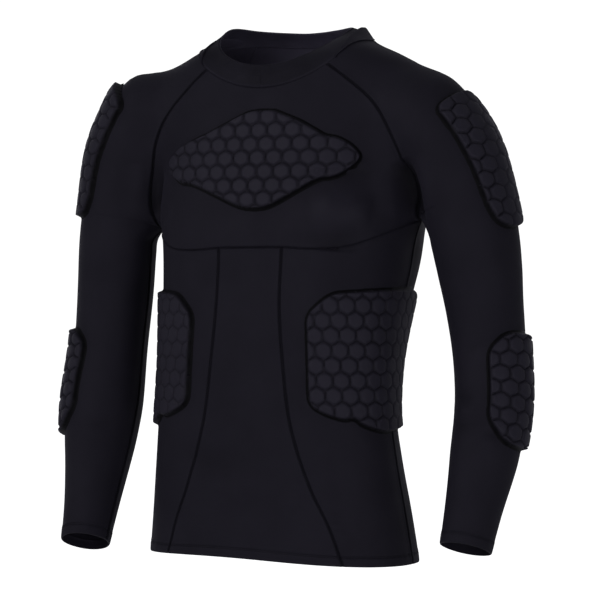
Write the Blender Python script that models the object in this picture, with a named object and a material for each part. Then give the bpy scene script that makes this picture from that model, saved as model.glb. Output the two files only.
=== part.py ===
"""A long-sleeved compression shirt with honeycomb pads on its chest, ribs, shoulders and elbows.

Metres, +Z up. The front faces -Y and the wearer's left is +X. The origin is the middle of the neck, at
the height of the collar's seam. The cloth keeps the hollow form it has when worn. Each cut piece is a
thin wall on one smooth figure, and the pieces meet edge to edge at their seams.
"""

import bmesh
import bpy
import numpy as np

# Cloth and seams
CLOTH = 0.0015
COLLAR_CLOTH = 0.0026
SEAM_GAP = 0.0003
LEAST_CORNER = 0.4
HEM_HEIGHT = -0.660
# The end faces of two pieces at a seam are split along one direction, so that they stay parallel
SPLIT_DIRECTION = np.array([0.37, 0.21, 1.0])

# The front's hem is drawn up a little, on the wearer's right of its middle
HEM_LIFT = 0.008
HEM_LIFT_ACROSS = -0.055
HEM_LIFT_REACH = 0.160
HEM_LIFT_TOP = -0.580

# Honeycomb pads: pitch along a row, gaps under them and heights above the cloth
POD_PITCH = 0.0235
TORSO_PAD_GAP = 0.0016
SLEEVE_PAD_GAP = 0.0011
PAD_GROOVE = 0.0042
PAD_TOP = 0.0072
POD_TOP_SHARE = 0.74
LEAST_CELL = 0.18
LEAST_CUT = 0.15

# Torso sections from below the hem to the neck. A section is an oval between its front and its back.
OVAL = 2.45
TORSO = (
    # height, half width, front, back
    (-0.720, 0.190, -0.118, 0.082),
    (-0.660, 0.189, -0.118, 0.082),
    (-0.600, 0.182, -0.121, 0.075),
    (-0.530, 0.173, -0.124, 0.060),
    (-0.470, 0.167, -0.124, 0.050),
    (-0.400, 0.165, -0.123, 0.066),
    (-0.320, 0.171, -0.119, 0.100),
    (-0.260, 0.178, -0.113, 0.126),
    (-0.220, 0.181, -0.112, 0.133),
    (-0.160, 0.180, -0.102, 0.132),
    (-0.110, 0.178, -0.092, 0.124),
    (-0.070, 0.180, -0.084, 0.113),
    (-0.040, 0.184, -0.077, 0.104),
    (-0.020, 0.182, -0.074, 0.100),
    (-0.003, 0.169, -0.072, 0.098),
    (0.009, 0.149, -0.070, 0.096),
    (0.020, 0.125, -0.069, 0.094),
    (0.031, 0.108, -0.068, 0.090),
    (0.050, 0.098, -0.066, 0.084),
)

# Sleeve centre lines, from the collar over the shoulder to the cuff. The first rows lie in the yoke.
YOKE_ROWS = 2
SLEEVES = {
    "left": (
        # across, deep, height, radius
        (0.060, 0.012, -0.016, 0.050),
        (0.135, 0.004, -0.046, 0.052),
        (0.206, -0.005, -0.080, 0.058),
        (0.240, -0.008, -0.126, 0.058),
        (0.262, -0.008, -0.190, 0.057),
        (0.2745, -0.008, -0.250, 0.0565),
        (0.284, -0.006, -0.320, 0.0505),
        (0.293, -0.010, -0.385, 0.047),
        (0.300, -0.022, -0.450, 0.046),
        (0.299, -0.042, -0.515, 0.0435),
        (0.294, -0.064, -0.578, 0.0365),
        (0.291, -0.084, -0.629, 0.0325),
    ),
    "right": (
        (0.060, 0.012, -0.012, 0.050),
        (0.137, 0.004, -0.036, 0.052),
        (0.215, -0.005, -0.064, 0.058),
        (0.240, -0.008, -0.114, 0.057),
        (0.254, -0.008, -0.180, 0.0555),
        (0.263, -0.008, -0.240, 0.054),
        (0.268, -0.006, -0.300, 0.053),
        (0.272, -0.012, -0.380, 0.051),
        (0.270, -0.035, -0.470, 0.053),
        (0.263, -0.062, -0.540, 0.0445),
        (0.256, -0.090, -0.600, 0.0365),
        (0.251, -0.112, -0.643, 0.0325),
    ),
}
SIDES = {"left": 1, "right": -1}

NORMAL_REACH = 0.006

# How far torso and sleeve flow into each other: fully above the armpit, hardly below it
FLOW_ABOVE = 0.056
FLOW_BELOW = 0.004
FLOW_HEIGHTS = {"left": (-0.280, -0.222), "right": (-0.262, -0.205)}

# The neckline is an oval whose height dips at the front
NECK_HALF = 0.115
NECK_DEPTH = 0.083
NECK_MIDDLE = 0.011
NECK_HEIGHTS = (0.0085, 0.036, -0.0125)
RIM_HALF = 0.098
RIM_DEPTH = 0.070
RIM_MIDDLE = 0.002
RIM_HEIGHTS = (0.0295, 0.028, -0.0095)
COLLAR_BULGE = 0.0025
LEAST_LEAN = 0.6
FRONT_RAGLAN_TURN = np.radians(48)
BACK_RAGLAN_TURN = np.radians(132)

# Seams on the wearer's left, as rows of across, deep, height. The other side mirrors them.
FRONT_RAGLAN = (
    (0.115, -0.062, -0.030),
    (0.150, -0.060, -0.060),
    (0.175, -0.058, -0.100),
    (0.188, -0.054, -0.148),
    (0.194, -0.044, -0.190),
)
BACK_RAGLAN = (
    (0.118, 0.085, -0.010),
    (0.150, 0.085, -0.050),
    (0.178, 0.080, -0.100),
    (0.192, 0.070, -0.150),
    (0.197, 0.045, -0.192),
)
UNDERBUST = (
    (0.046, -0.110, -0.249),
    (0.090, -0.105, -0.251),
    (0.130, -0.090, -0.248),
    (0.165, -0.060, -0.234),
)
PRINCESS = (
    # across, height
    (0.0460, -0.249),
    (0.0455, -0.320),
    (0.0520, -0.400),
    (0.0630, -0.479),
    (0.0780, -0.530),
    (0.0920, -0.566),
    (0.1105, -0.602),
    (0.1330, HEM_HEIGHT),
)
ARMPIT_ACROSS = {"left": 0.1950, "right": 0.1930}

# Cells along each seam, shared by the pieces that meet there
RAGLAN_CELLS = 12
CENTRE_CELLS = 4
SIDE_CELLS = 6
LENGTH_CELLS = 11
BACK_CELLS = 16
SLEEVE_CELLS = 16
SLEEVE_LENGTH_CELLS = 13
COLLAR_CELLS = 2

# Pad outlines. Torso pads: distance round from the front's middle, height. The chest's is half of it.
CHEST_OUTLINE = (
    (0.000, -0.0700),
    (0.017, -0.0705),
    (0.064, -0.0930),
    (0.098, -0.1080),
    (0.122, -0.1090),
    (0.147, -0.1250),
    (0.157, -0.1380),
    (0.149, -0.1540),
    (0.128, -0.1650),
    (0.098, -0.1640),
    (0.066, -0.1780),
    (0.036, -0.1960),
    (0.015, -0.2090),
    (0.000, -0.2095),
)
RIB_OUTLINE = (
    (0.080, -0.332),
    (0.114, -0.307),
    (0.255, -0.300),
    (0.282, -0.322),
    (0.282, -0.458),
    (0.250, -0.484),
    (0.185, -0.492),
    (0.142, -0.474),
    (0.122, -0.478),
    (0.104, -0.468),
    (0.080, -0.450),
)
# Sleeve pads: distance across the pad's middle line, distance down the outside of the sleeve
SHOULDER_OUTLINE = (
    (-0.030, 0.006),
    (0.022, 0.002),
    (0.047, 0.020),
    (0.045, 0.050),
    (0.042, 0.120),
    (0.022, 0.190),
    (0.010, 0.204),
    (-0.030, 0.204),
    (-0.044, 0.180),
    (-0.044, 0.030),
)
ELBOW_OUTLINE = (
    (-0.026, 0.000),
    (0.024, 0.000),
    (0.046, 0.022),
    (0.046, 0.120),
    (0.022, 0.148),
    (-0.022, 0.148),
    (-0.046, 0.120),
    (-0.046, 0.022),
)
# Where each sleeve pad's middle line starts along the sleeve, and how it is turned to the front there
# and at its end, in degrees
SLEEVE_PADS = {
    # piece and side: start height, turn at the start, turn at the end
    ("shoulder", "left"): (-0.040, 30, 15),
    ("shoulder", "right"): (-0.015, 32, 28),
    ("elbow", "left"): (-0.358, 14, 13),
    ("elbow", "right"): (-0.360, 36, 32),
}

CLOTH_COLOUR = (0.012, 0.012, 0.016, 1.0)
PAD_COLOUR = (0.018, 0.018, 0.024, 1.0)
COLLAR_COLOUR = (0.014, 0.014, 0.019, 1.0)
CLOTH_ROUGHNESS = 0.85
PAD_ROUGHNESS = 0.62


# Smooth curves

def table_values(rows, at):
    """The table's columns at a value of its first, on a cubic that passes through every row."""
    rows = np.asarray(rows, float)
    knots, values = rows[:, 0], rows[:, 1:]
    slopes = np.gradient(values, knots, axis=0)
    k = np.clip(np.searchsorted(knots, at) - 1, 0, len(knots) - 2)
    step = (knots[k + 1] - knots[k])[..., None]
    t = np.clip((at - knots[k])[..., None] / step, 0, 1)
    start = (1 + 2 * t) * (1 - t) ** 2
    end = t * t * (3 - 2 * t)
    return (
        start * values[k]
        + end * values[k + 1]
        + t * (1 - t) ** 2 * step * slopes[k]
        - t * t * (1 - t) * step * slopes[k + 1]
    )


def smooth_line(points, count):
    """A smooth curve through the points, as count points evenly spaced along it."""
    points = np.asarray(points, float)
    chords = np.linalg.norm(np.diff(points[:, :3], axis=0), axis=1)
    along = np.concatenate([[0], np.cumsum(chords)])
    fine = table_values(np.column_stack([along, points]), np.linspace(0, along[-1], 400))
    return respaced(fine, count)


def respaced(line, count):
    """The same line with count points at even distances along it."""
    steps = np.linalg.norm(np.diff(line[:, :3], axis=0), axis=1)
    along = np.concatenate([[0], np.cumsum(steps)])
    wanted = np.linspace(0, along[-1], count)
    return np.column_stack([np.interp(wanted, along, column) for column in line.T])


# The figure: a field that is negative inside it and zero on its surface

def torso_field(points):
    half, front, back = np.moveaxis(table_values(TORSO, points[..., 2]), -1, 0)
    deep = points[..., 1] - (front + back) / 2
    reach = (
        (np.abs(points[..., 0]) / half) ** OVAL + (np.abs(deep) / ((back - front) / 2)) ** OVAL
    ) ** (1 / OVAL)
    return np.hypot(points[..., 0], deep) * (1 - 1 / np.maximum(reach, 1e-6))


ARM_LINES = {side: smooth_line(rows[YOKE_ROWS:], 30) for side, rows in SLEEVES.items()}
CENTRE_LINES = {side: smooth_line(rows, 240) for side, rows in SLEEVES.items()}


def sleeve_field(points, side):
    """Distance to a tube round the sleeve's centre line. The points have across positive."""
    line = ARM_LINES[side]
    start, step = line[:-1, :3], np.diff(line[:, :3], axis=0)
    offset = points[..., None, :] - start
    t = np.clip((offset * step).sum(-1) / (step**2).sum(-1), 0, 1)
    gap = np.linalg.norm(offset - t[..., None] * step, axis=-1)
    return (gap - line[:-1, 3] - t * np.diff(line[:, 3])).min(-1)


def figure_field(points):
    """Torso and sleeves in one, flowing into each other above the armpits."""
    torso = torso_field(points)
    right = points[..., 0] < 0
    folded = points * np.where(right[..., None], (-1, 1, 1), (1, 1, 1))
    sleeve = np.where(right, sleeve_field(folded, "right"), sleeve_field(folded, "left"))
    low, high = (
        np.where(right, FLOW_HEIGHTS["right"][end], FLOW_HEIGHTS["left"][end]) for end in (0, 1)
    )
    t = np.clip((points[..., 2] - low) / (high - low), 0, 1)
    flow = FLOW_BELOW + (FLOW_ABOVE - FLOW_BELOW) * t * t * (3 - 2 * t)
    share = np.clip(0.5 + 0.5 * (torso - sleeve) / flow, 0, 1)
    return torso * (1 - share) + sleeve * share - flow * share * (1 - share)


def gradients(points, step=1e-4):
    columns = []
    for axis in range(3):
        shift = np.zeros(3)
        shift[axis] = step
        columns.append(figure_field(points + shift) - figure_field(points - shift))
    return np.stack(columns, -1) / (2 * step)


def outward(points):
    """Unit vectors out of the surface, evened over NORMAL_REACH so that folds don't twist them."""
    slope = gradients(points, NORMAL_REACH)
    return slope / np.linalg.norm(slope, axis=-1, keepdims=True)


def settle(points, rounds=8):
    """The points moved along the field's slope onto the figure's surface."""
    for _ in range(rounds):
        slope = gradients(points)
        length = np.maximum((slope**2).sum(-1), 0.05)
        points = points - (figure_field(points) / length)[..., None] * slope
    return points


# Seam lines, all on the figure's surface and running away from the collar or from the front's middle

def neck_oval(turns, half, depth, middle, heights):
    """A neck ring: turn 0 is the front's middle, and a quarter turn is the wearer's left."""
    level, tilt, dip = heights
    return np.column_stack(
        [
            half * np.sin(turns),
            middle - depth * np.cos(turns),
            level - tilt * np.cos(turns) + dip * np.cos(2 * turns),
        ]
    )


def neckline(turns):
    return settle(neck_oval(turns, NECK_HALF, NECK_DEPTH, NECK_MIDDLE, NECK_HEIGHTS))


def mirrored(line):
    return line * (-1, 1, 1)


def on_side(points, side):
    return points if side == "left" else mirrored(points)


def armpit(side):
    """The top of the gap between torso and sleeve, found along a vertical line."""
    low, high = -0.30, -0.12
    for _ in range(40):
        height = (low + high) / 2
        point = on_side(np.array([[ARMPIT_ACROSS[side], 0.0, height]]), side)
        if figure_field(point)[0] > 0:
            low = height
        else:
            high = height
    return point[0]


def raglan(side, rows, turn):
    """From the neckline to the armpit, over the front or the back."""
    start = neckline(np.array([turn * SIDES[side]]))[0]
    guide = np.vstack([start, on_side(np.asarray(rows), side), armpit(side)])
    line = smooth_line(guide, 60)
    line[1:-1] = settle(line[1:-1])
    return respaced(line, RAGLAN_CELLS + 1)


def underbust(side):
    """From the front's vertical seam to the armpit."""
    guide = np.vstack([on_side(np.asarray(UNDERBUST), side), armpit(side)])
    line = smooth_line(guide, 60)
    line[:-1] = settle(line[:-1])
    return respaced(line, SIDE_CELLS + 1)


def princess(side):
    """The front's vertical seam, from the seam under the chest to the hem."""
    rows = np.asarray(PRINCESS)
    guide = np.column_stack([rows[:, 0], np.full(len(rows), -0.11), rows[:, 1]])
    line = settle(smooth_line(on_side(guide, side), 60))
    line[0] = underbust(side)[0]
    line[-1, 2] = HEM_HEIGHT
    return respaced(line, LENGTH_CELLS + 1)


def side_seam(side):
    """From the armpit straight down the side to the hem."""
    start = armpit(side)
    heights = np.linspace(start[2], HEM_HEIGHT, 60)
    half, front, back = table_values(TORSO, heights).T
    line = on_side(np.column_stack([half, (front + back) / 2, heights]), side)
    ease = np.exp(-(start[2] - heights) / 0.018)[:, None]
    line = line + ease * (start - line[0])
    line[1:] = settle(line[1:])
    line[:, 2] = heights
    return respaced(line, LENGTH_CELLS + 1)


def section_oval(height, turns):
    """The torso's section at a height: turn 0 is the front's middle, a quarter turn the wearer's left."""
    half, front, back = table_values(TORSO, np.asarray(height, float)).T
    power = 2 / OVAL
    sine, cosine = np.sin(turns), np.cos(turns)
    across = half * np.sign(sine) * np.abs(sine) ** power
    deep = (front + back) / 2 - (back - front) / 2 * np.sign(cosine) * np.abs(cosine) ** power
    return np.stack([across, deep, height + 0 * across], -1)


def hem_line(start, end, count, way=1):
    """Round the hem from one of its points to another, with turns that rise or, by way -1, fall."""
    whole_turn = np.radians(np.arange(-180, 180))
    near = np.linalg.norm(section_oval(HEM_HEIGHT, whole_turn) - start, axis=1)
    onward = whole_turn[np.argmin(near)] + way * np.radians(np.arange(1, 300))
    ring = section_oval(HEM_HEIGHT, onward)
    last = np.argmin(np.linalg.norm(ring - end, axis=1))
    return respaced(np.vstack([start, ring[:last], end]), count)


def lifted(grid):
    """The grid with the hem's front drawn up, less and less up to the lift's top."""
    across, deep, height = np.moveaxis(grid, -1, 0)
    share = np.clip((HEM_LIFT_TOP - height) / (HEM_LIFT_TOP - HEM_HEIGHT), 0, 1)
    near = np.exp(-(((across - HEM_LIFT_ACROSS) / HEM_LIFT_REACH) ** 2))
    front = np.clip(0.5 - deep / -TORSO[1][2], 0, 1)
    rise = HEM_LIFT * share**2 * near * front
    return np.stack([across, deep, height + rise], -1)


# Grids of points for the cut pieces

def patch(bottom, top, first, last):
    """A grid between four edges, rows from bottom to top, laid onto the figure."""
    u = np.linspace(0, 1, len(bottom))[None, :, None]
    v = np.linspace(0, 1, len(first))[:, None, None]
    corners = (
        (1 - v) * ((1 - u) * bottom[0] + u * bottom[-1]) + v * ((1 - u) * top[0] + u * top[-1])
    )
    grid = (1 - v) * bottom + v * top + (1 - u) * first[:, None] + u * last[:, None] - corners
    grid[1:-1, 1:-1] = settle(grid[1:-1, 1:-1], 14)
    return grid


def chest_grid():
    bottom = np.vstack(
        [underbust("right")[:0:-1], centre_top()[:-1], underbust("left")]
    )
    reach = FRONT_RAGLAN_TURN
    top = neckline(np.linspace(-reach, reach, len(bottom)))
    first = raglan("right", FRONT_RAGLAN, reach)[::-1]
    last = raglan("left", FRONT_RAGLAN, reach)[::-1]
    return patch(bottom, top, first, last)


def centre_top():
    """The seam under the chest, between the two vertical seams."""
    first, last = underbust("right")[0], underbust("left")[0]
    t = np.linspace(0, 1, CENTRE_CELLS + 1)[:, None]
    line = settle(first * (1 - t) + last * t)
    line[0], line[-1] = first, last
    return line


def centre_grid():
    first, last = princess("right")[::-1], princess("left")[::-1]
    bottom = hem_line(first[0], last[0], CENTRE_CELLS + 1)
    return lifted(patch(bottom, centre_top(), first, last))


def side_grid(side):
    first, last = princess(side)[::-1], side_seam(side)[::-1]
    bottom = hem_line(first[0], last[0], SIDE_CELLS + 1, SIDES[side])
    return lifted(patch(bottom, underbust(side), first, last))


def back_grid():
    turns = np.linspace(BACK_RAGLAN_TURN, 2 * np.pi - BACK_RAGLAN_TURN, BACK_CELLS + 1)
    edges = []
    for side in ("left", "right"):
        down = np.vstack([raglan(side, BACK_RAGLAN, BACK_RAGLAN_TURN)[:-1], side_seam(side)])
        edges.append(down[::-1])
    bottom = hem_line(edges[0][0], edges[1][0], BACK_CELLS + 1)
    return lifted(patch(bottom, neckline(turns), edges[0], edges[1]))


def sleeve_frame(side, place):
    """Centre, outward direction and forward direction at a share of the centre line."""
    line = CENTRE_LINES[side]
    at = place * (len(line) - 1)
    index = np.arange(len(line))
    centre = np.stack([np.interp(at, index, line[:, k]) for k in range(3)], -1)
    slopes = np.gradient(line[:, :3], axis=0)
    run = np.stack([np.interp(at, index, slopes[:, k]) for k in range(3)], -1)
    run /= np.linalg.norm(run, axis=-1, keepdims=True)
    out = np.cross(run, (0, 1, 0))
    out /= np.linalg.norm(out, axis=-1, keepdims=True)
    return centre, out, np.cross(run, out)


def sleeve_points(side, place, turn, radius=0.055):
    """Points on the sleeve, turned to the front from its outer side, with across positive."""
    centre, out, front = sleeve_frame(side, place)
    around = out * np.cos(turn)[..., None] + front * np.sin(turn)[..., None]
    guess = centre + radius * around
    return on_side(settle(on_side(guess, side), 14), side)


def sleeve_rows(side, pit_height):
    """Places of the sleeve's rows, even along its outside: from collar to armpit, and on to the cuff."""
    line = CENTRE_LINES[side]
    pit = np.argmin(np.abs(line[:, 2] - pit_height)) / (len(line) - 1)
    places = np.linspace(0, pit, 200)
    outside = sleeve_points(side, places, np.zeros(len(places)))
    collar = np.argmax(outside[:, 0] > NECK_HALF)
    along = np.cumsum(np.linalg.norm(np.diff(outside[collar:], axis=0), axis=1))
    wanted = np.linspace(0, along[-1], RAGLAN_CELLS + 1)[1:]
    upper = np.interp(wanted, along, places[collar + 1:])
    return upper, np.linspace(pit, 1, SLEEVE_LENGTH_CELLS + 1)[1:]


def sleeve_grid(side):
    """Rows from the collar to the cuff, each from the front raglan over the outside to the back one."""
    front = on_side(raglan(side, FRONT_RAGLAN, FRONT_RAGLAN_TURN), side)
    back = on_side(raglan(side, BACK_RAGLAN, BACK_RAGLAN_TURN), side)
    upper, lower = sleeve_rows(side, front[-1, 2] + 0.006)
    spread = np.linspace(0, 1, SLEEVE_CELLS + 1)
    turns = np.linspace(FRONT_RAGLAN_TURN, BACK_RAGLAN_TURN, SLEEVE_CELLS + 1)
    rows = [on_side(neckline(SIDES[side] * turns), side)]
    for k, place in enumerate(upper, start=1):
        reach = np.radians(75 + 105 * (k / RAGLAN_CELLS) ** 1.5)
        ring = sleeve_points(side, np.full(len(spread), place), reach * (1 - 2 * spread))
        ends = (1 - spread)[:, None] * (front[k] - ring[0]) + spread[:, None] * (back[k] - ring[-1])
        ring = on_side(settle(on_side(ring + ends, side)), side)
        ring[0], ring[-1] = front[k], back[k]
        rows.append(ring)
    for place in lower:
        turns = np.pi * (1 - 2 * spread)
        rows.append(sleeve_points(side, np.full(len(spread), place), turns))
    return on_side(np.array(rows), side)


# Solids

def moved_in(grid, gap, edges):
    """The grid with its named border rows moved in, so that each keeps the gap from its own seam."""
    total = np.zeros_like(grid)
    meeting = np.zeros(grid.shape[:2] + (1,))
    for edge in edges:
        border, inner = {
            "bottom": (np.s_[0], np.s_[1]),
            "top": (np.s_[-1], np.s_[-2]),
            "first": (np.s_[:, 0], np.s_[:, 1]),
            "last": (np.s_[:, -1], np.s_[:, -2]),
        }[edge]
        square = np.cross(outward(grid[border]), np.gradient(grid[border], axis=0))
        square /= np.linalg.norm(square, axis=-1, keepdims=True)
        towards = ((grid[inner] - grid[border]) * square).sum(-1, keepdims=True)
        total[border] += square * np.sign(towards)
        meeting[border] += 1
    size = (total**2).sum(-1, keepdims=True)
    return grid + gap * total * meeting / np.maximum(size, LEAST_CORNER)


def sleeve_moved_in(grid, gap):
    """A sleeve's grid moved in at the collar, along both raglans and at the armpit."""
    grid = moved_in(grid, gap, ("bottom",))
    upper = grid[:RAGLAN_CELLS]
    upper[:] = moved_in(upper, gap, ("first", "last"))
    pit, below = grid[RAGLAN_CELLS, 0], grid[RAGLAN_CELLS + 1, 0]
    grid[RAGLAN_CELLS, [0, -1]] = pit + 2 * gap * (below - pit) / np.linalg.norm(below - pit)
    return grid


def add_object(name, points, faces, colour, roughness):
    mesh = bpy.data.meshes.new(name)
    mesh.from_pydata([tuple(p) for p in points], [], faces)
    shape = bmesh.new()
    shape.from_mesh(mesh)
    bmesh.ops.recalc_face_normals(shape, faces=shape.faces)
    if shape.calc_volume(signed=True) < 0:
        bmesh.ops.reverse_faces(shape, faces=shape.faces)
    shape.to_mesh(mesh)
    shape.free()
    mesh.shade_smooth()
    mesh.set_sharp_from_angle(angle=np.radians(50))
    material = bpy.data.materials.new(name)
    material.use_nodes = True
    surface = material.node_tree.nodes["Principled BSDF"]
    surface.inputs["Base Color"].default_value = colour
    surface.inputs["Roughness"].default_value = roughness
    surface.inputs["Metallic"].default_value = 0.0
    mesh.materials.append(material)
    piece = bpy.data.objects.new(name, mesh)
    bpy.context.collection.objects.link(piece)
    return piece


def add_wall(name, outer, inner, colour, joined_from=None, ring=False):
    """A closed wall between two grids. From one row on, or all round, first and last columns join."""
    rows, columns = outer.shape[:2]
    index = np.arange(rows * columns).reshape(rows, columns)
    if joined_from is not None:
        index[joined_from:, -1] = index[joined_from:, 0]
    if ring:
        index[:, -1] = index[:, 0]
    quads = np.stack(
        [index[:-1, :-1], index[:-1, 1:], index[1:, 1:], index[1:, :-1]], -1
    ).reshape(-1, 4)
    used, compact = np.unique(quads, return_inverse=True)
    quads = compact.reshape(-1, 4)
    count = len(used)
    points = np.vstack([outer.reshape(-1, 3)[used], inner.reshape(-1, 3)[used]])
    faces = [tuple(q) for q in quads] + [tuple(q[::-1] + count) for q in quads]
    edges = {}
    for quad in quads:
        for a, b in zip(quad, np.roll(quad, -1)):
            edges[(a, b)] = edges.get((a, b), 0) + 1
    rank = points @ SPLIT_DIRECTION
    for a, b in edges:
        if (b, a) in edges:
            continue
        low, high = (a, b) if rank[a] < rank[b] else (b, a)
        faces.append((low, high, high + count))
        faces.append((low, low + count, high + count))
    return add_object(name, points, faces, colour, CLOTH_ROUGHNESS)


def add_panel(name, grid, outer, **joins):
    """A cut piece: outer is its grid moved in at the seams. Its wall goes in along the grid's normals."""
    inner = outer - CLOTH * outward(grid)
    return add_wall(name, outer, inner, CLOTH_COLOUR, **joins)


def add_collar():
    """The standing collar band, from the neckline up to its rim."""
    front, back = FRONT_RAGLAN_TURN, BACK_RAGLAN_TURN
    chest_cells = 2 * SIDE_CELLS + CENTRE_CELLS
    turns = np.concatenate(
        [
            np.linspace(-front, front, chest_cells + 1)[:-1],
            np.linspace(front, back, SLEEVE_CELLS + 1)[:-1],
            np.linspace(back, 2 * np.pi - back, BACK_CELLS + 1)[:-1],
            np.linspace(2 * np.pi - back, 2 * np.pi - front, SLEEVE_CELLS + 1),
        ]
    )
    foot = neckline(turns)
    rim = neck_oval(turns, RIM_HALF, RIM_DEPTH, RIM_MIDDLE, RIM_HEIGHTS)
    rise = rim - foot
    rise /= np.linalg.norm(rise, axis=1, keepdims=True)
    along = np.gradient(np.vstack([foot[-2], foot, foot[1]]), axis=0)[1:-1]
    out = np.cross(along, rise)
    out /= np.linalg.norm(out, axis=1, keepdims=True)
    under = outward(foot)
    lean = np.maximum((under * out).sum(1, keepdims=True), LEAST_LEAN)
    foot = foot + SEAM_GAP * 1.5 * rise
    levels = np.linspace(0, 1, COLLAR_CELLS + 1)
    outer = np.array(
        [foot + t * (rim - foot) + COLLAR_BULGE * np.sin(np.pi * t) * out for t in levels]
    )
    inner = outer - COLLAR_CLOTH * out
    inner[0] = outer[0] - COLLAR_CLOTH / lean * under
    add_wall("collar_band", outer, inner, COLLAR_COLOUR, ring=True)


# Honeycomb pads

def rounded(outline, rounds=2):
    """The outline with its corners cut, each round leaving softer ones."""
    for _ in range(rounds):
        following = np.roll(outline, -1, axis=0)
        cut = np.stack([0.75 * outline + 0.25 * following, 0.25 * outline + 0.75 * following], 1)
        outline = cut.reshape(-1, 2)
    return outline


def depth_inside(points, outline):
    """Distance to the outline, positive inside it."""
    following = np.roll(outline, -1, axis=0)
    edge = following - outline
    offset = points[:, None] - outline
    t = np.clip((offset * edge).sum(-1) / (edge**2).sum(-1), 0, 1)
    distance = np.linalg.norm(offset - t[..., None] * edge, axis=-1).min(-1)
    over = (outline[:, 1] > points[:, None, 1]) != (following[:, 1] > points[:, None, 1])
    rise = np.where(edge[:, 1] == 0, 1e-12, edge[:, 1])
    crossing = outline[:, 0] + (points[:, None, 1] - outline[:, 1]) / rise * edge[:, 0]
    inside = (over & (points[:, None, 0] < crossing)).sum(-1) % 2 == 1
    return np.where(inside, distance, -distance)


def cells_inside(outline):
    """Honeycomb cells cut by the outline, as arrays of corners."""
    low, high = outline.min(0), outline.max(0)
    row_step = POD_PITCH * np.sqrt(3) / 2
    rows = int(np.ceil((high[1] - low[1]) / row_step)) + 2
    columns = int(np.ceil((high[0] - low[0]) / POD_PITCH)) + 3
    middle = (low + high) / 2
    corner_turns = np.radians(np.arange(6) * 60 + 30)
    corners = POD_PITCH / np.sqrt(3) * np.column_stack([np.cos(corner_turns), np.sin(corner_turns)])
    full = POD_PITCH * row_step
    cells = []
    for row in range(-rows // 2, rows // 2 + 1):
        for column in range(-columns // 2, columns // 2 + 1):
            centre = middle + ((column + 0.5 * (row % 2)) * POD_PITCH, row * row_step)
            cell = cut_cell(np.round(centre + corners, 6), outline)
            if len(cell) > 2 and area(cell) > LEAST_CELL * full:
                cells.append(cell)
    return cells


def cut_cell(corners, outline):
    depth = depth_inside(corners, outline)
    kept = []
    for here, there, a, b in zip(corners, np.roll(corners, -1, 0), depth, np.roll(depth, -1)):
        if a > 0:
            kept.append(here)
        if (a > 0) != (b > 0):
            inner, outer, near, far = (here, there, a, b) if a > 0 else (there, here, b, a)
            share = np.clip(near / (near - far), LEAST_CUT, 1 - LEAST_CUT)
            kept.append(inner + share * (outer - inner))
    return np.array(kept)


def area(corners):
    x, y = corners.T
    return abs(np.dot(x, np.roll(y, -1)) - np.dot(y, np.roll(x, -1))) / 2


def add_pad(name, outline, place, gap):
    """A pad of raised cells, the gap above the cloth. place(flat) gives the points on the cloth."""
    cells = cells_inside(rounded(np.asarray(outline, float)))
    flat = {}
    rings = []
    for cell in cells:
        ring = []
        for corner in cell:
            key = tuple(np.round(corner, 5))
            flat.setdefault(key, (len(flat), corner))
            ring.append(flat[key][0])
        rings.append(ring)
    shared = np.array([corner for _, corner in flat.values()])
    middles = np.array([cell.mean(0) for cell in cells])
    tops = np.vstack(
        [middle + POD_TOP_SHARE * (cell - middle) for middle, cell in zip(middles, cells)]
    )
    ground = [place(part) for part in (shared, shared, middles, tops)]
    heights = (gap, PAD_GROOVE, gap, PAD_TOP)
    points = np.vstack([g + h * outward(g) for g, h in zip(ground, heights)])
    groove = len(shared)
    under = 2 * len(shared)
    top = under + len(middles)
    faces = []
    edges = set()
    for k, ring in enumerate(rings):
        size = len(ring)
        faces.append(tuple(range(top, top + size)))
        for n in range(size):
            a, b = ring[n], ring[(n + 1) % size]
            edges.add((a, b))
            faces.append((a + groove, b + groove, top + (n + 1) % size, top + n))
            faces.append((b, a, under + k))
        top += size
    for a, b in sorted(edges):
        if (b, a) not in edges:
            faces.append((a, b, b + groove, a + groove))
    return add_object(name, points, faces, PAD_COLOUR, PAD_ROUGHNESS)


def torso_place(flat, side=1):
    """Points on the torso at distances round from the front's middle, and heights."""
    turns = np.linspace(0, np.pi, 241)
    guess = np.empty((len(flat), 3))
    for k, (distance, height) in enumerate(flat):
        ring = section_oval(height, turns)
        steps = np.linalg.norm(np.diff(ring, axis=0), axis=1)
        along = np.concatenate([[0], np.cumsum(steps)])
        guess[k] = [np.interp(abs(distance), along, column) for column in ring.T]
        guess[k, 0] *= side * (-1 if distance < 0 else 1)
    return settle(guess)


def sleeve_place(flat, piece, side):
    """Points on the sleeve at distances across and down a pad's middle line."""
    start, first_turn, last_turn = SLEEVE_PADS[(piece, side)]
    places = np.linspace(0.12, 1, 240)
    outside = sleeve_points(side, places, np.zeros(len(places)))
    first = np.argmax(outside[:, 2] < start)
    turns = np.radians(first_turn) + np.zeros(len(places))
    length = np.ptp(flat[:, 1])
    for _ in range(2):
        outside = sleeve_points(side, places, turns)
        steps = np.linalg.norm(np.diff(outside, axis=0), axis=1)
        along = np.concatenate([[0], np.cumsum(steps)])
        along -= along[first]
        turns = np.radians(np.interp(along, [0, length], [first_turn, last_turn]))
    place = np.interp(flat[:, 1], along, places)
    turn = np.interp(flat[:, 1], along, turns)
    centre = sleeve_frame(side, place)[0]
    middle = sleeve_points(side, place, turn)
    radius = np.linalg.norm(middle - centre, axis=1)
    return on_side(sleeve_points(side, place, turn + flat[:, 0] / radius), side)


def whole(half_outline):
    """Both halves of an outline that mirrors about its first column."""
    half = np.asarray(half_outline, float)
    return np.vstack([half, half[-2:0:-1] * (-1, 1)])


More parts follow.
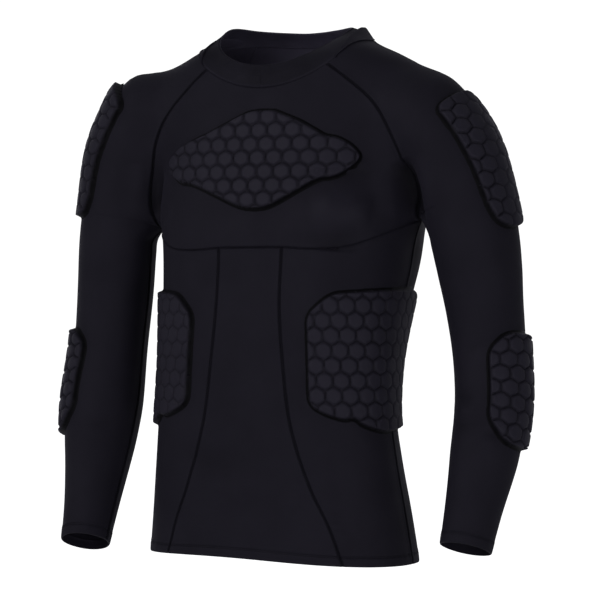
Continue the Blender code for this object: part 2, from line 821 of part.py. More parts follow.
def add_pads():
    add_pad("chest_pad", whole(CHEST_OUTLINE), torso_place, TORSO_PAD_GAP)
    for side, sign in SIDES.items():
        add_pad(
            f"rib_pad_{side}",
            RIB_OUTLINE,
            lambda flat, s=sign: torso_place(flat, s),
            TORSO_PAD_GAP,
        )
        for piece, outline in (("shoulder", SHOULDER_OUTLINE), ("elbow", ELBOW_OUTLINE)):
            add_pad(
                f"{piece}_pad_{side}",
                outline,
                lambda flat, p=piece, s=side: sleeve_place(flat, p, s),
                SLEEVE_PAD_GAP,
            )


def main():
    for old in list(bpy.data.objects):
        bpy.data.objects.remove(old, do_unlink=True)
    half_gap = SEAM_GAP / 2
    seams = ("top", "first", "last")
    chest, centre, back = chest_grid(), centre_grid(), back_grid()
    add_panel("chest_panel", chest, moved_in(chest, half_gap, ("bottom", *seams)))
    add_panel("front_centre_panel", centre, moved_in(centre, half_gap, seams))
    add_panel("back_panel", back, moved_in(back, half_gap, seams))
    for side in SIDES:
        front, sleeve = side_grid(side), sleeve_grid(side)
        add_panel(f"front_side_{side}", front, moved_in(front, half_gap, seams))
        moved = sleeve_moved_in(sleeve, half_gap)
        add_panel(f"sleeve_{side}", sleeve, moved, joined_from=RAGLAN_CELLS)
    add_collar()
    add_pads()


if __name__ == "__main__":
    main()
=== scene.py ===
"""The looks of a long-sleeved compression shirt with honeycomb pads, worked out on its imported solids.

Metres, +Z up. The front faces -Y and the wearer's left is +X. The cloth is one smooth figure cut into
pieces; seams, hems, creases and pad cells are heights above it.
"""

import bpy
import numpy as np
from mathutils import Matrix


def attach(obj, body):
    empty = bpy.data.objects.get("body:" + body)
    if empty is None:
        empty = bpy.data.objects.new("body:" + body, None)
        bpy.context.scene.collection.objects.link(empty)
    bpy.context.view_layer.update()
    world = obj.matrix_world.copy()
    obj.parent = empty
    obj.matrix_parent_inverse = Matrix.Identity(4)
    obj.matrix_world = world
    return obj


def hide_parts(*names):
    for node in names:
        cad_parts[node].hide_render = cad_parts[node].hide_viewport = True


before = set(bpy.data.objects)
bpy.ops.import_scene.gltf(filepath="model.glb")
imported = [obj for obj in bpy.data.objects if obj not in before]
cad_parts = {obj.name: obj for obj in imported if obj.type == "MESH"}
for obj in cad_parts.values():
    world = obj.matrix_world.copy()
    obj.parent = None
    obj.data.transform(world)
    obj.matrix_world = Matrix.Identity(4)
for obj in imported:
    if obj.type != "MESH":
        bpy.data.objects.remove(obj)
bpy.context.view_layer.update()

bl_info = {
    "name": "Padded compression shirt",
    "version": (1, 0, 0),
    "blender": (4, 5, 0),
    "location": "3D View > Sidebar > Shirt",
    "description": "Cut pieces, collar, honeycomb pads and stitching of a compression shirt",
    "category": "Object",
}

# The figure. These tables are the ones the imported solids were built on.

OVAL = 2.45
TORSO = (
    # height, half width, front, back
    (-0.720, 0.190, -0.118, 0.082),
    (-0.660, 0.189, -0.118, 0.082),
    (-0.600, 0.182, -0.121, 0.075),
    (-0.530, 0.173, -0.124, 0.060),
    (-0.470, 0.167, -0.124, 0.050),
    (-0.400, 0.165, -0.123, 0.066),
    (-0.320, 0.171, -0.119, 0.100),
    (-0.260, 0.178, -0.113, 0.126),
    (-0.220, 0.181, -0.112, 0.133),
    (-0.160, 0.180, -0.102, 0.132),
    (-0.110, 0.178, -0.092, 0.124),
    (-0.070, 0.180, -0.084, 0.113),
    (-0.040, 0.184, -0.077, 0.104),
    (-0.020, 0.182, -0.074, 0.100),
    (-0.003, 0.169, -0.072, 0.098),
    (0.009, 0.149, -0.070, 0.096),
    (0.020, 0.125, -0.069, 0.094),
    (0.031, 0.108, -0.068, 0.090),
    (0.050, 0.098, -0.066, 0.084),
)
YOKE_ROWS = 2
SLEEVES = {
    "left": (
        # across, deep, height, radius
        (0.060, 0.012, -0.016, 0.050),
        (0.135, 0.004, -0.046, 0.052),
        (0.206, -0.005, -0.080, 0.058),
        (0.240, -0.008, -0.126, 0.058),
        (0.262, -0.008, -0.190, 0.057),
        (0.2745, -0.008, -0.250, 0.0565),
        (0.284, -0.006, -0.320, 0.0505),
        (0.293, -0.010, -0.385, 0.047),
        (0.300, -0.022, -0.450, 0.046),
        (0.299, -0.042, -0.515, 0.0435),
        (0.294, -0.064, -0.578, 0.0365),
        (0.291, -0.084, -0.629, 0.0325),
    ),
    "right": (
        (0.060, 0.012, -0.012, 0.050),
        (0.137, 0.004, -0.036, 0.052),
        (0.215, -0.005, -0.064, 0.058),
        (0.240, -0.008, -0.114, 0.057),
        (0.254, -0.008, -0.180, 0.0555),
        (0.263, -0.008, -0.240, 0.054),
        (0.268, -0.006, -0.300, 0.053),
        (0.272, -0.012, -0.380, 0.051),
        (0.270, -0.035, -0.470, 0.053),
        (0.263, -0.062, -0.540, 0.0445),
        (0.256, -0.090, -0.600, 0.0365),
        (0.251, -0.112, -0.643, 0.0325),
    ),
}
SIDES = {"left": 1, "right": -1}
NORMAL_REACH = 0.003
FLOW_ABOVE = 0.056
FLOW_BELOW = 0.004
FLOW_HEIGHTS = {"left": (-0.280, -0.222), "right": (-0.262, -0.205)}
HEM_HEIGHT = -0.660
HEM_LIFT = 0.008
HEM_LIFT_ACROSS = -0.055
HEM_LIFT_REACH = 0.160
HEM_LIFT_TOP = -0.580
NECK_HALF = 0.115
NECK_DEPTH = 0.083
NECK_MIDDLE = 0.011
NECK_HEIGHTS = (0.0085, 0.036, -0.0125)
RIM_HALF = 0.098
RIM_DEPTH = 0.070
RIM_MIDDLE = 0.002
RIM_HEIGHTS = (0.0295, 0.028, -0.0095)
# The rim against the solid's: its shift to the wearer's right, its rise there, and the rise, turn and
# width in radians of its corner
RIM_NARROWER = 0.0062
RIM_RAISED = 0.0035
RIM_CORNER = (0.0058, -1.78, 0.38)
COLLAR_BULGE = 0.0025
# Shares of the band's height where its profile has points, the rim's round beginning at the last
COLLAR_LEVELS = (0, 0.02, 0.05, 0.09, 0.14, *np.linspace(0.2, 0.93, 12))
# Waves of the band's uneven ease: height, how many go round the neck, and where they start
COLLAR_EASE = ((0.0004, 9, 1.3), (0.0003, 17, 0.0))
FRONT_RAGLAN_TURN = np.radians(48)
BACK_RAGLAN_TURN = np.radians(132)
FRONT_RAGLAN = (
    (0.115, -0.062, -0.030),
    (0.150, -0.060, -0.060),
    (0.175, -0.058, -0.100),
    (0.188, -0.054, -0.148),
    (0.194, -0.044, -0.190),
)
BACK_RAGLAN = (
    (0.118, 0.085, -0.010),
    (0.150, 0.085, -0.050),
    (0.178, 0.080, -0.100),
    (0.192, 0.070, -0.150),
    (0.197, 0.045, -0.192),
)
UNDERBUST = (
    (0.046, -0.110, -0.249),
    (0.090, -0.105, -0.251),
    (0.130, -0.090, -0.248),
    (0.165, -0.060, -0.234),
)
PRINCESS = (
    # across, height
    (0.0460, -0.249),
    (0.0455, -0.320),
    (0.0520, -0.400),
    (0.0630, -0.479),
    (0.0780, -0.530),
    (0.0920, -0.566),
    (0.1105, -0.602),
    (0.1330, HEM_HEIGHT),
)
ARMPIT_ACROSS = {"left": 0.1950, "right": 0.1930}
# How far round from its outside a sleeve reaches at the collar, growing to half a turn at the armpit
SLEEVE_REACH = np.radians(75)
# Distance over which a fine surface is drawn onto the seams that meet on its edge
SEAM_EASE = 0.020

# Cells along each seam of the first, wide grids
RAGLAN_CELLS = 24
CENTRE_CELLS = 8
SIDE_CELLS = 12
LENGTH_CELLS = 22
BACK_CELLS = 32
SLEEVE_CELLS = 32
SLEEVE_LENGTH_CELLS = 26

# Distances from a seam or a hem, in millimetres, of the fine grid's first rows, and its step after them
SEAM_STEPS = (0, 0.6, 1.2, 1.8, 2.5, 3.3, 4.2, 5.4, 7.2, 9.8)
HEM_STEPS = (0, 0.7, 1.6, 3.2, 5.6, 8.0, 10.2, 11.4, 12.3, 13.0, 13.7, 14.6, 15.8, 17.6, 20.4)
WIDE_STEP = 0.0042

# Pads: pitch of the honeycomb's template, and the outlines in flat places, across and up or down
POD_PITCH = 0.0235
CHEST_OUTLINE = (
    (-0.0130, -0.0700),
    (-0.0380, -0.0812),
    (-0.0770, -0.0985),
    (-0.1040, -0.1063),
    (-0.1275, -0.1155),
    (-0.1500, -0.1320),
    (-0.1480, -0.1470),
    (-0.1200, -0.1637),
    (-0.0998, -0.1645),
    (-0.0743, -0.1734),
    (-0.0413, -0.1873),
    (-0.0196, -0.1967),
    (-0.0019, -0.2008),
    (0.0236, -0.2000),
    (0.0420, -0.1915),
    (0.0572, -0.1829),
    (0.0769, -0.1717),
    (0.0937, -0.1620),
    (0.1108, -0.1618),
    (0.1294, -0.1516),
    (0.1407, -0.1413),
    (0.1440, -0.1334),
    (0.1398, -0.1258),
    (0.1266, -0.1145),
    (0.1089, -0.1068),
    (0.0965, -0.1055),
    (0.0833, -0.0976),
    (0.0588, -0.0842),
    (0.0305, -0.0735),
    (0.0220, -0.0700),
)
RIB_OUTLINE = (
    (0.0830, -0.3355),
    (0.1130, -0.3085),
    (0.1690, -0.3050),
    (0.2600, -0.3015),
    (0.2830, -0.3180),
    (0.2830, -0.4600),
    (0.2500, -0.4840),
    (0.1900, -0.4880),
    (0.1580, -0.4795),
    (0.1465, -0.4685),
    (0.1350, -0.4725),
    (0.1060, -0.4630),
    (0.0880, -0.4510),
    (0.0860, -0.3940),
)
SHOULDER_OUTLINE = (
    (-0.0300, 0.0120),
    (0.0000, 0.0140),
    (0.0345, 0.0200),
    (0.0350, 0.0500),
    (0.0345, 0.0860),
    (0.0320, 0.1180),
    (0.0300, 0.1500),
    (0.0290, 0.1750),
    (0.0195, 0.1995),
    (-0.0125, 0.2035),
    (-0.0320, 0.1970),
    (-0.0440, 0.1800),
    (-0.0440, 0.0300),
)
ELBOW_OUTLINE = (
    (-0.026, 0.000),
    (0.024, 0.000),
    (0.046, 0.022),
    (0.046, 0.120),
    (0.022, 0.148),
    (-0.022, 0.148),
    (-0.046, 0.120),
    (-0.046, 0.022),
)
SLEEVE_PADS = {
    # piece and side: start height, turn at the start, turn at the end
    ("shoulder", "left"): (-0.040, 30, 15),
    ("shoulder", "right"): (-0.0108, 45, 40),
    ("elbow", "left"): (-0.358, 14, 13),
    ("elbow", "right"): (-0.358, 30, 26),
}
SLEEVE_PAD_LENGTHS = {"shoulder": 0.202, "elbow": 0.148}
# Steps of the pads' fine and wide grids, width of a pad's own rim, of its flat edge, and a disc's radius
PAD_STEP = 0.0013
PAD_GUIDE_STEP = 0.011
PAD_BORDER = 0.0016
EDGE_WIDTH = 0.0027
DISC_RADIUS = 0.0103
DISC_EDGE = 0.0013
DISC_SWELL = 0.3
# Half of the groove's floor between cells, and the rise of a cell's wall over which its painted shade
# fades
GROOVE_FLOOR = 0.0003
GROOVE_WALL = (0.15, 0.75)
# Painted shade in the groove between cells and on the pad's rim
GROOVE_PAINTED_SHADE = 0.65
BORDER_PAINTED_SHADE = 1.35
# How far the outline may lie outside the cloth's edge, and how far the underside lies inside the cloth
OUTLINE_SLACK = 0.0001
PAD_SUNK = 0.0009
# Honeycomb of each kind of pad: pitch along a row, row step, one cell's middle, lean of the columns
LATTICES = {
    "chest": (0.0236, 0.01807, -0.0070, -0.0800, -0.038),
    "rib": (0.0205, 0.01918, 0.1142, -0.3252, -0.060),
    "shoulder": (0.0215, 0.0190, 0.0000, 0.1000, 0.0),
    "elbow": (0.0215, 0.0190, 0.0000, 0.0740, 0.0),
}
# Where the cells grow shallower: distance across where it begins, width of the change, least share
CALMER = {
    "chest_pad": (1.0, 1.0, 0.0),
    "rib_pad_left": (0.176, 0.035, 0.0),
    "rib_pad_right": (0.176, 0.035, 0.45),
    "shoulder_pad_left": (0.014, -0.020, 0.0),
    "shoulder_pad_right": (0.014, -0.020, 0.35),
    "elbow_pad_left": (-0.020, -0.020, 0.0),
    "elbow_pad_right": (-0.020, -0.020, 0.0),
}
CALMEST = 0.75
CORNER_CUT = 0.007

# Creases: depth in millimetres (a ridge is below zero), half width in millimetres, points along it
CREASES = (
    # beside the hem, wearer's left
    (0.9, 3.2, ((0.110, -0.109, -0.590), (0.121, -0.105, -0.591), (0.133, -0.100, -0.596))),
    (-0.7, 2.6, ((0.111, -0.108, -0.595), (0.123, -0.104, -0.597), (0.135, -0.098, -0.601))),
    (0.9, 3.0, ((0.112, -0.108, -0.600), (0.123, -0.104, -0.602), (0.137, -0.098, -0.607))),
    (-0.6, 2.4, ((0.115, -0.107, -0.607), (0.126, -0.103, -0.608), (0.138, -0.097, -0.612))),
    (0.8, 3.0, ((0.117, -0.106, -0.612), (0.128, -0.102, -0.613), (0.140, -0.096, -0.618))),
    # front of the armpits
    (12.0, 11.0, ((-0.178, -0.052, -0.135), (-0.185, -0.042, -0.178), (-0.182, -0.030, -0.210))),
    (-1.6, 9.0, ((-0.160, -0.070, -0.175), (-0.172, -0.052, -0.205), (-0.176, -0.040, -0.232))),
    (12.0, 15.0, ((0.186, -0.045, -0.135), (0.199, -0.033, -0.178), (0.203, -0.020, -0.212))),
    (1.6, 8.0, ((0.214, -0.046, -0.165), (0.212, -0.040, -0.200), (0.222, -0.034, -0.232))),
    (1.6, 8.0, ((-0.214, -0.044, -0.155), (-0.208, -0.040, -0.190), (-0.216, -0.034, -0.222))),
    # fullness under the chest, wearer's left
    (-9.0, 23.0, ((0.085, -0.100, -0.203), (0.126, -0.088, -0.200), (0.156, -0.068, -0.205))),
    (1.0, 7.0, ((0.060, -0.110, -0.238), (0.110, -0.096, -0.238), (0.150, -0.074, -0.232))),
    # front of the elbows
    (1.5, 6.0, ((0.303, -0.055, -0.373), (0.290, -0.057, -0.378), (0.276, -0.055, -0.386))),
    (1.4, 5.0, ((0.310, -0.076, -0.483), (0.320, -0.073, -0.484), (0.334, -0.063, -0.491))),
    (1.6, 8.0, ((0.262, -0.046, -0.432), (0.276, -0.063, -0.440), (0.292, -0.070, -0.436))),
    (-1.1, 7.0, ((0.262, -0.050, -0.452), (0.278, -0.068, -0.458), (0.296, -0.076, -0.452))),
    (1.3, 7.0, ((0.264, -0.056, -0.470), (0.280, -0.076, -0.476), (0.298, -0.084, -0.470))),
    (1.6, 8.0, ((-0.236, -0.046, -0.432), (-0.252, -0.066, -0.440), (-0.270, -0.074, -0.436))),
    (-1.1, 7.0, ((-0.232, -0.052, -0.456), (-0.250, -0.076, -0.462), (-0.270, -0.084, -0.458))),
    (1.4, 7.0, ((-0.226, -0.060, -0.478), (-0.246, -0.090, -0.484), (-0.268, -0.096, -0.478))),
    # front of the waist
    (1.0, 14.0, ((-0.100, -0.116, -0.515), (-0.040, -0.124, -0.528), (0.020, -0.126, -0.522))),
    (-0.9, 13.0, ((-0.080, -0.118, -0.560), (-0.020, -0.122, -0.566), (0.050, -0.121, -0.556))),
    # back: armpits, small of the back, shoulder blades
    (3.0, 9.0, ((0.178, 0.076, -0.120), (0.188, 0.056, -0.170), (0.190, 0.030, -0.202))),
    (3.0, 9.0, ((-0.178, 0.076, -0.120), (-0.186, 0.056, -0.170), (-0.188, 0.030, -0.205))),
    (-1.4, 9.0, ((0.150, 0.094, -0.165), (0.168, 0.070, -0.200), (0.174, 0.050, -0.232))),
    (-1.4, 9.0, ((-0.150, 0.094, -0.165), (-0.168, 0.070, -0.200), (-0.174, 0.050, -0.232))),
    (2.0, 12.0, ((-0.110, 0.062, -0.436), (-0.030, 0.058, -0.450), (0.060, 0.058, -0.444))),
    (-1.4, 11.0, ((-0.090, 0.054, -0.470), (0.000, 0.050, -0.480), (0.090, 0.054, -0.468))),
    (1.7, 11.0, ((-0.070, 0.054, -0.500), (0.020, 0.055, -0.508), (0.110, 0.052, -0.494))),
    (1.2, 12.0, ((-0.020, 0.134, -0.160), (0.000, 0.130, -0.250), (0.000, 0.104, -0.330))),
    (1.3, 10.0, ((0.080, 0.092, -0.350), (0.125, 0.070, -0.372), (0.150, 0.036, -0.380))),
    (1.3, 10.0, ((-0.080, 0.092, -0.350), (-0.125, 0.070, -0.372), (-0.150, 0.036, -0.380))),
    # back and outside of the sleeves
    (1.5, 9.0, ((0.262, 0.044, -0.180), (0.282, 0.046, -0.205), (0.306, 0.030, -0.222))),
    (1.5, 9.0, ((-0.250, 0.044, -0.180), (-0.270, 0.044, -0.205), (-0.292, 0.030, -0.220))),
    (1.2, 8.0, ((0.276, 0.040, -0.330), (0.296, 0.040, -0.345), (0.320, 0.024, -0.350))),
    (1.2, 8.0, ((-0.256, 0.040, -0.320), (-0.276, 0.040, -0.335), (-0.298, 0.024, -0.340))),
)

# Ends of a crease, and the low shoulders beside it, as shares of its depth and half width
CREASE_END = 0.12
CREASE_SHOULDER = 0.28
CREASE_SHOULDER_AT = 2.1
# Depth of a crease at which the cloth's painted shade is full, and height of a ridge at which its painted
# highlight is full
PAINTED_SHADE_AT = 0.009
PAINTED_HIGHLIGHT_AT = 0.006

# How much of the groove and of the ridge each kind of seam has
SEAM_SHARES = {"seam": (1.0, 1.0), "neck": (1.0, 0.0), "bust": (0.4, 0.7)}
# Waves that a hem's stitches draw: height, pitch and the length of their drift; and its edge's rounding
HEM_WAVE = 0.00022
HEM_WAVE_PITCH = 0.0105
HEM_WAVE_DRIFT = 0.067
HEM_EDGE = 0.0007

# Flat cuts: width, length and area; and what each of a piece's four edges is
CUTS = {
    # name: flat width, flat length, flat area, bottom, top, first, last
    "chest_panel": (0.46, 0.27, 0.0870, "bust", "neck", "seam", "seam"),
    "front_centre_panel": (0.24, 0.41, 0.0560, "hem", "bust", "seam", "seam"),
    "front_side_left": (0.19, 0.46, 0.0530, "hem", "bust", "seam", "seam"),
    "front_side_right": (0.19, 0.46, 0.0530, "hem", "bust", "seam", "seam"),
    "back_panel": (0.50, 0.70, 0.2650, "hem", "neck", "seam", "seam"),
    "sleeve_left": (0.36, 0.78, 0.1750, "neck", "hem", "seam", "seam"),
    "sleeve_right": (0.36, 0.78, 0.1750, "neck", "hem", "seam", "seam"),
}
# How far the stitch lines lie from a seam, and both of a hem's from its edge
NEEDLE_GAP = 0.0023
HEM_LINES = (0.0118, 0.0142)
# Share of the pitch that a stitch covers in a seam and in a hem, and the cover thread's rise and share
SEAM_STITCH = 0.78
HEM_STITCH = 0.8
COVER_RISE = 0.0002
COVER_THREAD = 0.8
# Surfaces of the cut pieces by name, which the stitching follows
LAID = {}

# Lamps on the stage: place, turn in degrees, width, height, power
LAMPS = {
    "key": ((-1.5, -2.7, 1.0), (70, 0, -29), 1.3, 1.3, 21),
    "front": ((0.3, -3.0, -0.1), (90, 0, 6), 1.6, 2.0, 7),
    "top": ((0.0, 0.1, 2.2), (0, 0, 0), 2.0, 1.4, 1.2),
    "right_low": ((2.3, -1.7, -0.9), (98, 0, 51), 0.8, 1.2, 14),
    "left_back": ((-2.4, 1.6, 0.4), (82, 0, -124), 1.0, 2.0, 3.5),
    "right_back": ((0.4, 3.0, 0.4), (82, 0, 172), 1.0, 2.0, 3),
    "neck": ((0.01, -0.035, 0.024), (84, 0, 8), 0.09, 0.02, 0.11),
}
LAMP_COLOUR = (0.98, 0.94, 1.06)
ROOM_COLOUR = (0.94, 0.95, 1.0, 1)
ROOM_LIGHT = 0.20
SEEN_LIGHT = 1.1
FLOOR_REACH = 14.0
FLOOR_LEVEL = -1.12
CAMERA_TURN = np.radians(27)
CAMERA_AWAY = 3.0
CAMERA_ASIDE = 0.0147
CAMERA_HEIGHT = -0.3175
CAMERA_LENS = 134.3


# Smooth curves

def cubic(t, first, last, first_slope, last_slope, step=1):
    """From first to last at a share t of the step between them, with a slope at each end."""
    return (
        (1 + 2 * t) * (1 - t) ** 2 * first
        + t * t * (3 - 2 * t) * last
        + t * (1 - t) ** 2 * step * first_slope
        - t * t * (1 - t) * step * last_slope
    )


def table_values(rows, at):
    """The table's columns at a value of its first: a cubic through every row with centred slopes."""
    rows = np.asarray(rows, float)
    knots, values = rows[:, 0], rows[:, 1:]
    slopes = np.gradient(values, knots, axis=0)
    k = np.clip(np.searchsorted(knots, at) - 1, 0, len(knots) - 2)
    step = (knots[k + 1] - knots[k])[..., None]
    t = np.clip((at - knots[k])[..., None] / step, 0, 1)
    return cubic(t, values[k], values[k + 1], slopes[k], slopes[k + 1], step)


def spline(rows, at):
    """Evenly numbered rows read at fractional numbers: the cubic with each row's centred slope."""
    slopes = np.gradient(rows, axis=0, edge_order=2)
    k = np.clip(at.astype(int), 0, len(rows) - 2)
    t = (at - k).reshape((-1,) + (1,) * (rows.ndim - 1))
    return cubic(t, rows[k], rows[k + 1], slopes[k], slopes[k + 1])


def smooth_step(value):
    """The cubic from zero to one with level ends, and level beyond them."""
    t = np.clip(value, 0, 1)
    return t * t * (3 - 2 * t)


def bell(distance, width):
    """E to minus the square of the distance in widths: one at zero, fading to both sides."""
    return np.exp(-((distance / width) ** 2))


def arc(line):
    """Distance along a line of points, zero at its first."""
    return np.concatenate([[0], np.cumsum(np.linalg.norm(np.diff(line[:, :3], axis=0), axis=1))])


def respaced(line, count):
    """The same line with count points at even distances along it."""
    along = arc(line)
    wanted = np.linspace(0, along[-1], count)
    return np.column_stack([np.interp(wanted, along, column) for column in line.T])


def smooth_line(points, count):
    """A smooth curve through the points, as count points evenly spaced along it."""
    points = np.asarray(points, float)
    along = arc(points)
    fine = table_values(np.column_stack([along, points]), np.linspace(0, along[-1], 400))
    return respaced(fine, count)


# The figure: a field that is negative inside it and zero on its surface

def torso_field(points):
    """Distance along the ray from the section's middle to an oval of power OVAL."""
    half, front, back = np.moveaxis(table_values(TORSO, points[..., 2]), -1, 0)
    deep = points[..., 1] - (front + back) / 2
    reach = (
        (np.abs(points[..., 0]) / half) ** OVAL + (np.abs(deep) / ((back - front) / 2)) ** OVAL
    ) ** (1 / OVAL)
    return np.hypot(points[..., 0], deep) * (1 - 1 / np.maximum(reach, 1e-6))


ARM_LINES = {side: smooth_line(rows[YOKE_ROWS:], 30) for side, rows in SLEEVES.items()}
CENTRE_LINES = {side: smooth_line(rows, 240) for side, rows in SLEEVES.items()}


def sleeve_field(points, side):
    """Distance to a tube round the sleeve's centre line. The points have across positive."""
    line = ARM_LINES[side]
    start, step = line[:-1, :3], np.diff(line[:, :3], axis=0)
    offset = points[..., None, :] - start
    t = np.clip((offset * step).sum(-1) / (step**2).sum(-1), 0, 1)
    gap = np.linalg.norm(offset - t[..., None] * step, axis=-1)
    return (gap - line[:-1, 3] - t * np.diff(line[:, 3])).min(-1)


def figure_field(points):
    """The smooth minimum of torso and sleeves, with a reach that shrinks below the armpits."""
    torso = torso_field(points)
    right = points[..., 0] < 0
    folded = points * np.where(right[..., None], (-1, 1, 1), (1, 1, 1))
    sleeve = np.empty(right.shape)
    sleeve[right] = sleeve_field(folded[right], "right")
    sleeve[~right] = sleeve_field(folded[~right], "left")
    low, high = (
        np.where(right, FLOW_HEIGHTS["right"][end], FLOW_HEIGHTS["left"][end]) for end in (0, 1)
    )
    t = np.clip((points[..., 2] - low) / (high - low), 0, 1)
    flow = FLOW_BELOW + (FLOW_ABOVE - FLOW_BELOW) * t * t * (3 - 2 * t)
    share = np.clip(0.5 + 0.5 * (torso - sleeve) / flow, 0, 1)
    return torso * (1 - share) + sleeve * share - flow * share * (1 - share)


def gradients(points, step=1e-4):
    """Central differences of the figure's field along the three axes."""
    columns = []
    for axis in range(3):
        shift = np.zeros(3)
        shift[axis] = step
        columns.append(figure_field(points + shift) - figure_field(points - shift))
    return np.stack(columns, -1) / (2 * step)


def unit(vectors):
    """The vectors divided by their lengths."""
    return vectors / np.maximum(np.linalg.norm(vectors, axis=-1, keepdims=True), 1e-12)


def outward(points):
    """The field's slope over a wide reach, at length one."""
    return unit(gradients(points, NORMAL_REACH))


def settle(points, rounds=8):
    """The points moved along the field's slope onto the figure's surface."""
    for _ in range(rounds):
        slope = gradients(points)
        length = np.maximum((slope**2).sum(-1), 0.05)
        points = points - (figure_field(points) / length)[..., None] * slope
    return points


# Seam lines

def neck_oval(turns, half, depth, middle, heights):
    """A neck ring: an ellipse whose height falls with the turn's cosine and its double."""
    level, tilt, dip = heights
    return np.column_stack(
        [
            half * np.sin(turns),
            middle - depth * np.cos(turns),
            level - tilt * np.cos(turns) + dip * np.cos(2 * turns),
        ]
    )


def neckline(turns):
    """The neck's oval settled on the figure."""
    return settle(neck_oval(turns, NECK_HALF, NECK_DEPTH, NECK_MIDDLE, NECK_HEIGHTS))


def on_side(points, side):
    """The points as they are on the left, and mirrored across on the right."""
    return points if side == "left" else points * (-1, 1, 1)


def armpit(side):
    """The top of the gap between torso and sleeve, halved down along a vertical line."""
    low, high = -0.30, -0.12
    for _ in range(40):
        height = (low + high) / 2
        point = on_side(np.array([[ARMPIT_ACROSS[side], 0.0, height]]), side)
        if figure_field(point)[0] > 0:
            low = height
        else:
            high = height
    return point[0]


def raglan(side, rows, turn):
    """From the neckline to the armpit, over the front or the back."""
    start = neckline(np.array([turn * SIDES[side]]))[0]
    guide = np.vstack([start, on_side(np.asarray(rows), side), armpit(side)])
    line = smooth_line(guide, 60)
    line[1:-1] = settle(line[1:-1])
    return respaced(line, RAGLAN_CELLS + 1)


def underbust(side):
    """From the front's vertical seam to the armpit."""
    guide = np.vstack([on_side(np.asarray(UNDERBUST), side), armpit(side)])
    line = smooth_line(guide, 60)
    line[:-1] = settle(line[:-1])
    return respaced(line, SIDE_CELLS + 1)


def princess(side):
    """The front's vertical seam, from the seam under the chest to the hem."""
    rows = np.asarray(PRINCESS)
    guide = np.column_stack([rows[:, 0], np.full(len(rows), -0.11), rows[:, 1]])
    line = settle(smooth_line(on_side(guide, side), 60))
    line[0] = underbust(side)[0]
    line[-1, 2] = HEM_HEIGHT
    return respaced(line, LENGTH_CELLS + 1)


def side_seam(side):
    """From the armpit straight down the side to the hem."""
    start = armpit(side)
    heights = np.linspace(start[2], HEM_HEIGHT, 60)
    half, front, back = table_values(TORSO, heights).T
    line = on_side(np.column_stack([half, (front + back) / 2, heights]), side)
    ease = np.exp(-(start[2] - heights) / 0.018)[:, None]
    line = line + ease * (start - line[0])
    line[1:] = settle(line[1:])
    line[:, 2] = heights
    return respaced(line, LENGTH_CELLS + 1)


def section_oval(height, turns):
    """The torso's section at a height: turn 0 is the front's middle, a quarter turn the left."""
    half, front, back = table_values(TORSO, np.asarray(height, float)).T
    power = 2 / OVAL
    sine, cosine = np.sin(turns), np.cos(turns)
    across = half * np.sign(sine) * np.abs(sine) ** power
    deep = (front + back) / 2 - (back - front) / 2 * np.sign(cosine) * np.abs(cosine) ** power
    return np.stack([across, deep, height + 0 * across], -1)


def hem_line(start, end, count, way=1):
    """Round the hem between two of its points, with turns that rise or, by way -1, fall."""
    whole_turn = np.radians(np.arange(-180, 180))
    near = np.linalg.norm(section_oval(HEM_HEIGHT, whole_turn) - start, axis=1)
    onward = whole_turn[np.argmin(near)] + way * np.radians(np.arange(1, 300))
    ring = section_oval(HEM_HEIGHT, onward)
    last = np.argmin(np.linalg.norm(ring - end, axis=1))
    return respaced(np.vstack([start, ring[:last], end]), count)


def lifted(grid):
    """The grid with the hem's front drawn up, by a bell across it and a square law up to its top."""
    across, deep, height = np.moveaxis(grid, -1, 0)
    share = np.clip((HEM_LIFT_TOP - height) / (HEM_LIFT_TOP - HEM_HEIGHT), 0, 1)
    near = np.exp(-(((across - HEM_LIFT_ACROSS) / HEM_LIFT_REACH) ** 2))
    front = np.clip(0.5 - deep / -TORSO[1][2], 0, 1)
    rise = HEM_LIFT * share**2 * near * front
    return np.stack([across, deep, height + rise], -1)


# Wide grids of the cut pieces

def patch(bottom, top, first, last):
    """Between four edges, the sum of both straight blends less the corners' one, then settled."""
    u = np.linspace(0, 1, len(bottom))[None, :, None]
    v = np.linspace(0, 1, len(first))[:, None, None]
    corners = (
        (1 - v) * ((1 - u) * bottom[0] + u * bottom[-1]) + v * ((1 - u) * top[0] + u * top[-1])
    )
    grid = (1 - v) * bottom + v * top + (1 - u) * first[:, None] + u * last[:, None] - corners
    grid[1:-1, 1:-1] = settle(grid[1:-1, 1:-1], 10)
    return grid


def centre_top():
    """The seam under the chest, between the two vertical seams."""
    first, last = underbust("right")[0], underbust("left")[0]
    t = np.linspace(0, 1, CENTRE_CELLS + 1)[:, None]
    line = settle(first * (1 - t) + last * t)
    line[0], line[-1] = first, last
    return line


def chest_grid():
    """From the seam under the chest to the neckline, between both front raglan seams."""
    bottom = np.vstack([underbust("right")[:0:-1], centre_top()[:-1], underbust("left")])
    reach = FRONT_RAGLAN_TURN
    top = neckline(np.linspace(-reach, reach, len(bottom)))
    first = raglan("right", FRONT_RAGLAN, reach)[::-1]
    last = raglan("left", FRONT_RAGLAN, reach)[::-1]
    return patch(bottom, top, first, last)


def centre_grid():
    """From the hem to the seam under the chest, between both vertical seams."""
    first, last = princess("right")[::-1], princess("left")[::-1]
    bottom = hem_line(first[0], last[0], CENTRE_CELLS + 1)
    return lifted(patch(bottom, centre_top(), first, last))


def side_grid(side):
    """From the hem to the seam under the chest, between vertical and side seam."""
    first, last = princess(side)[::-1], side_seam(side)[::-1]
    bottom = hem_line(first[0], last[0], SIDE_CELLS + 1, SIDES[side])
    return lifted(patch(bottom, underbust(side), first, last))


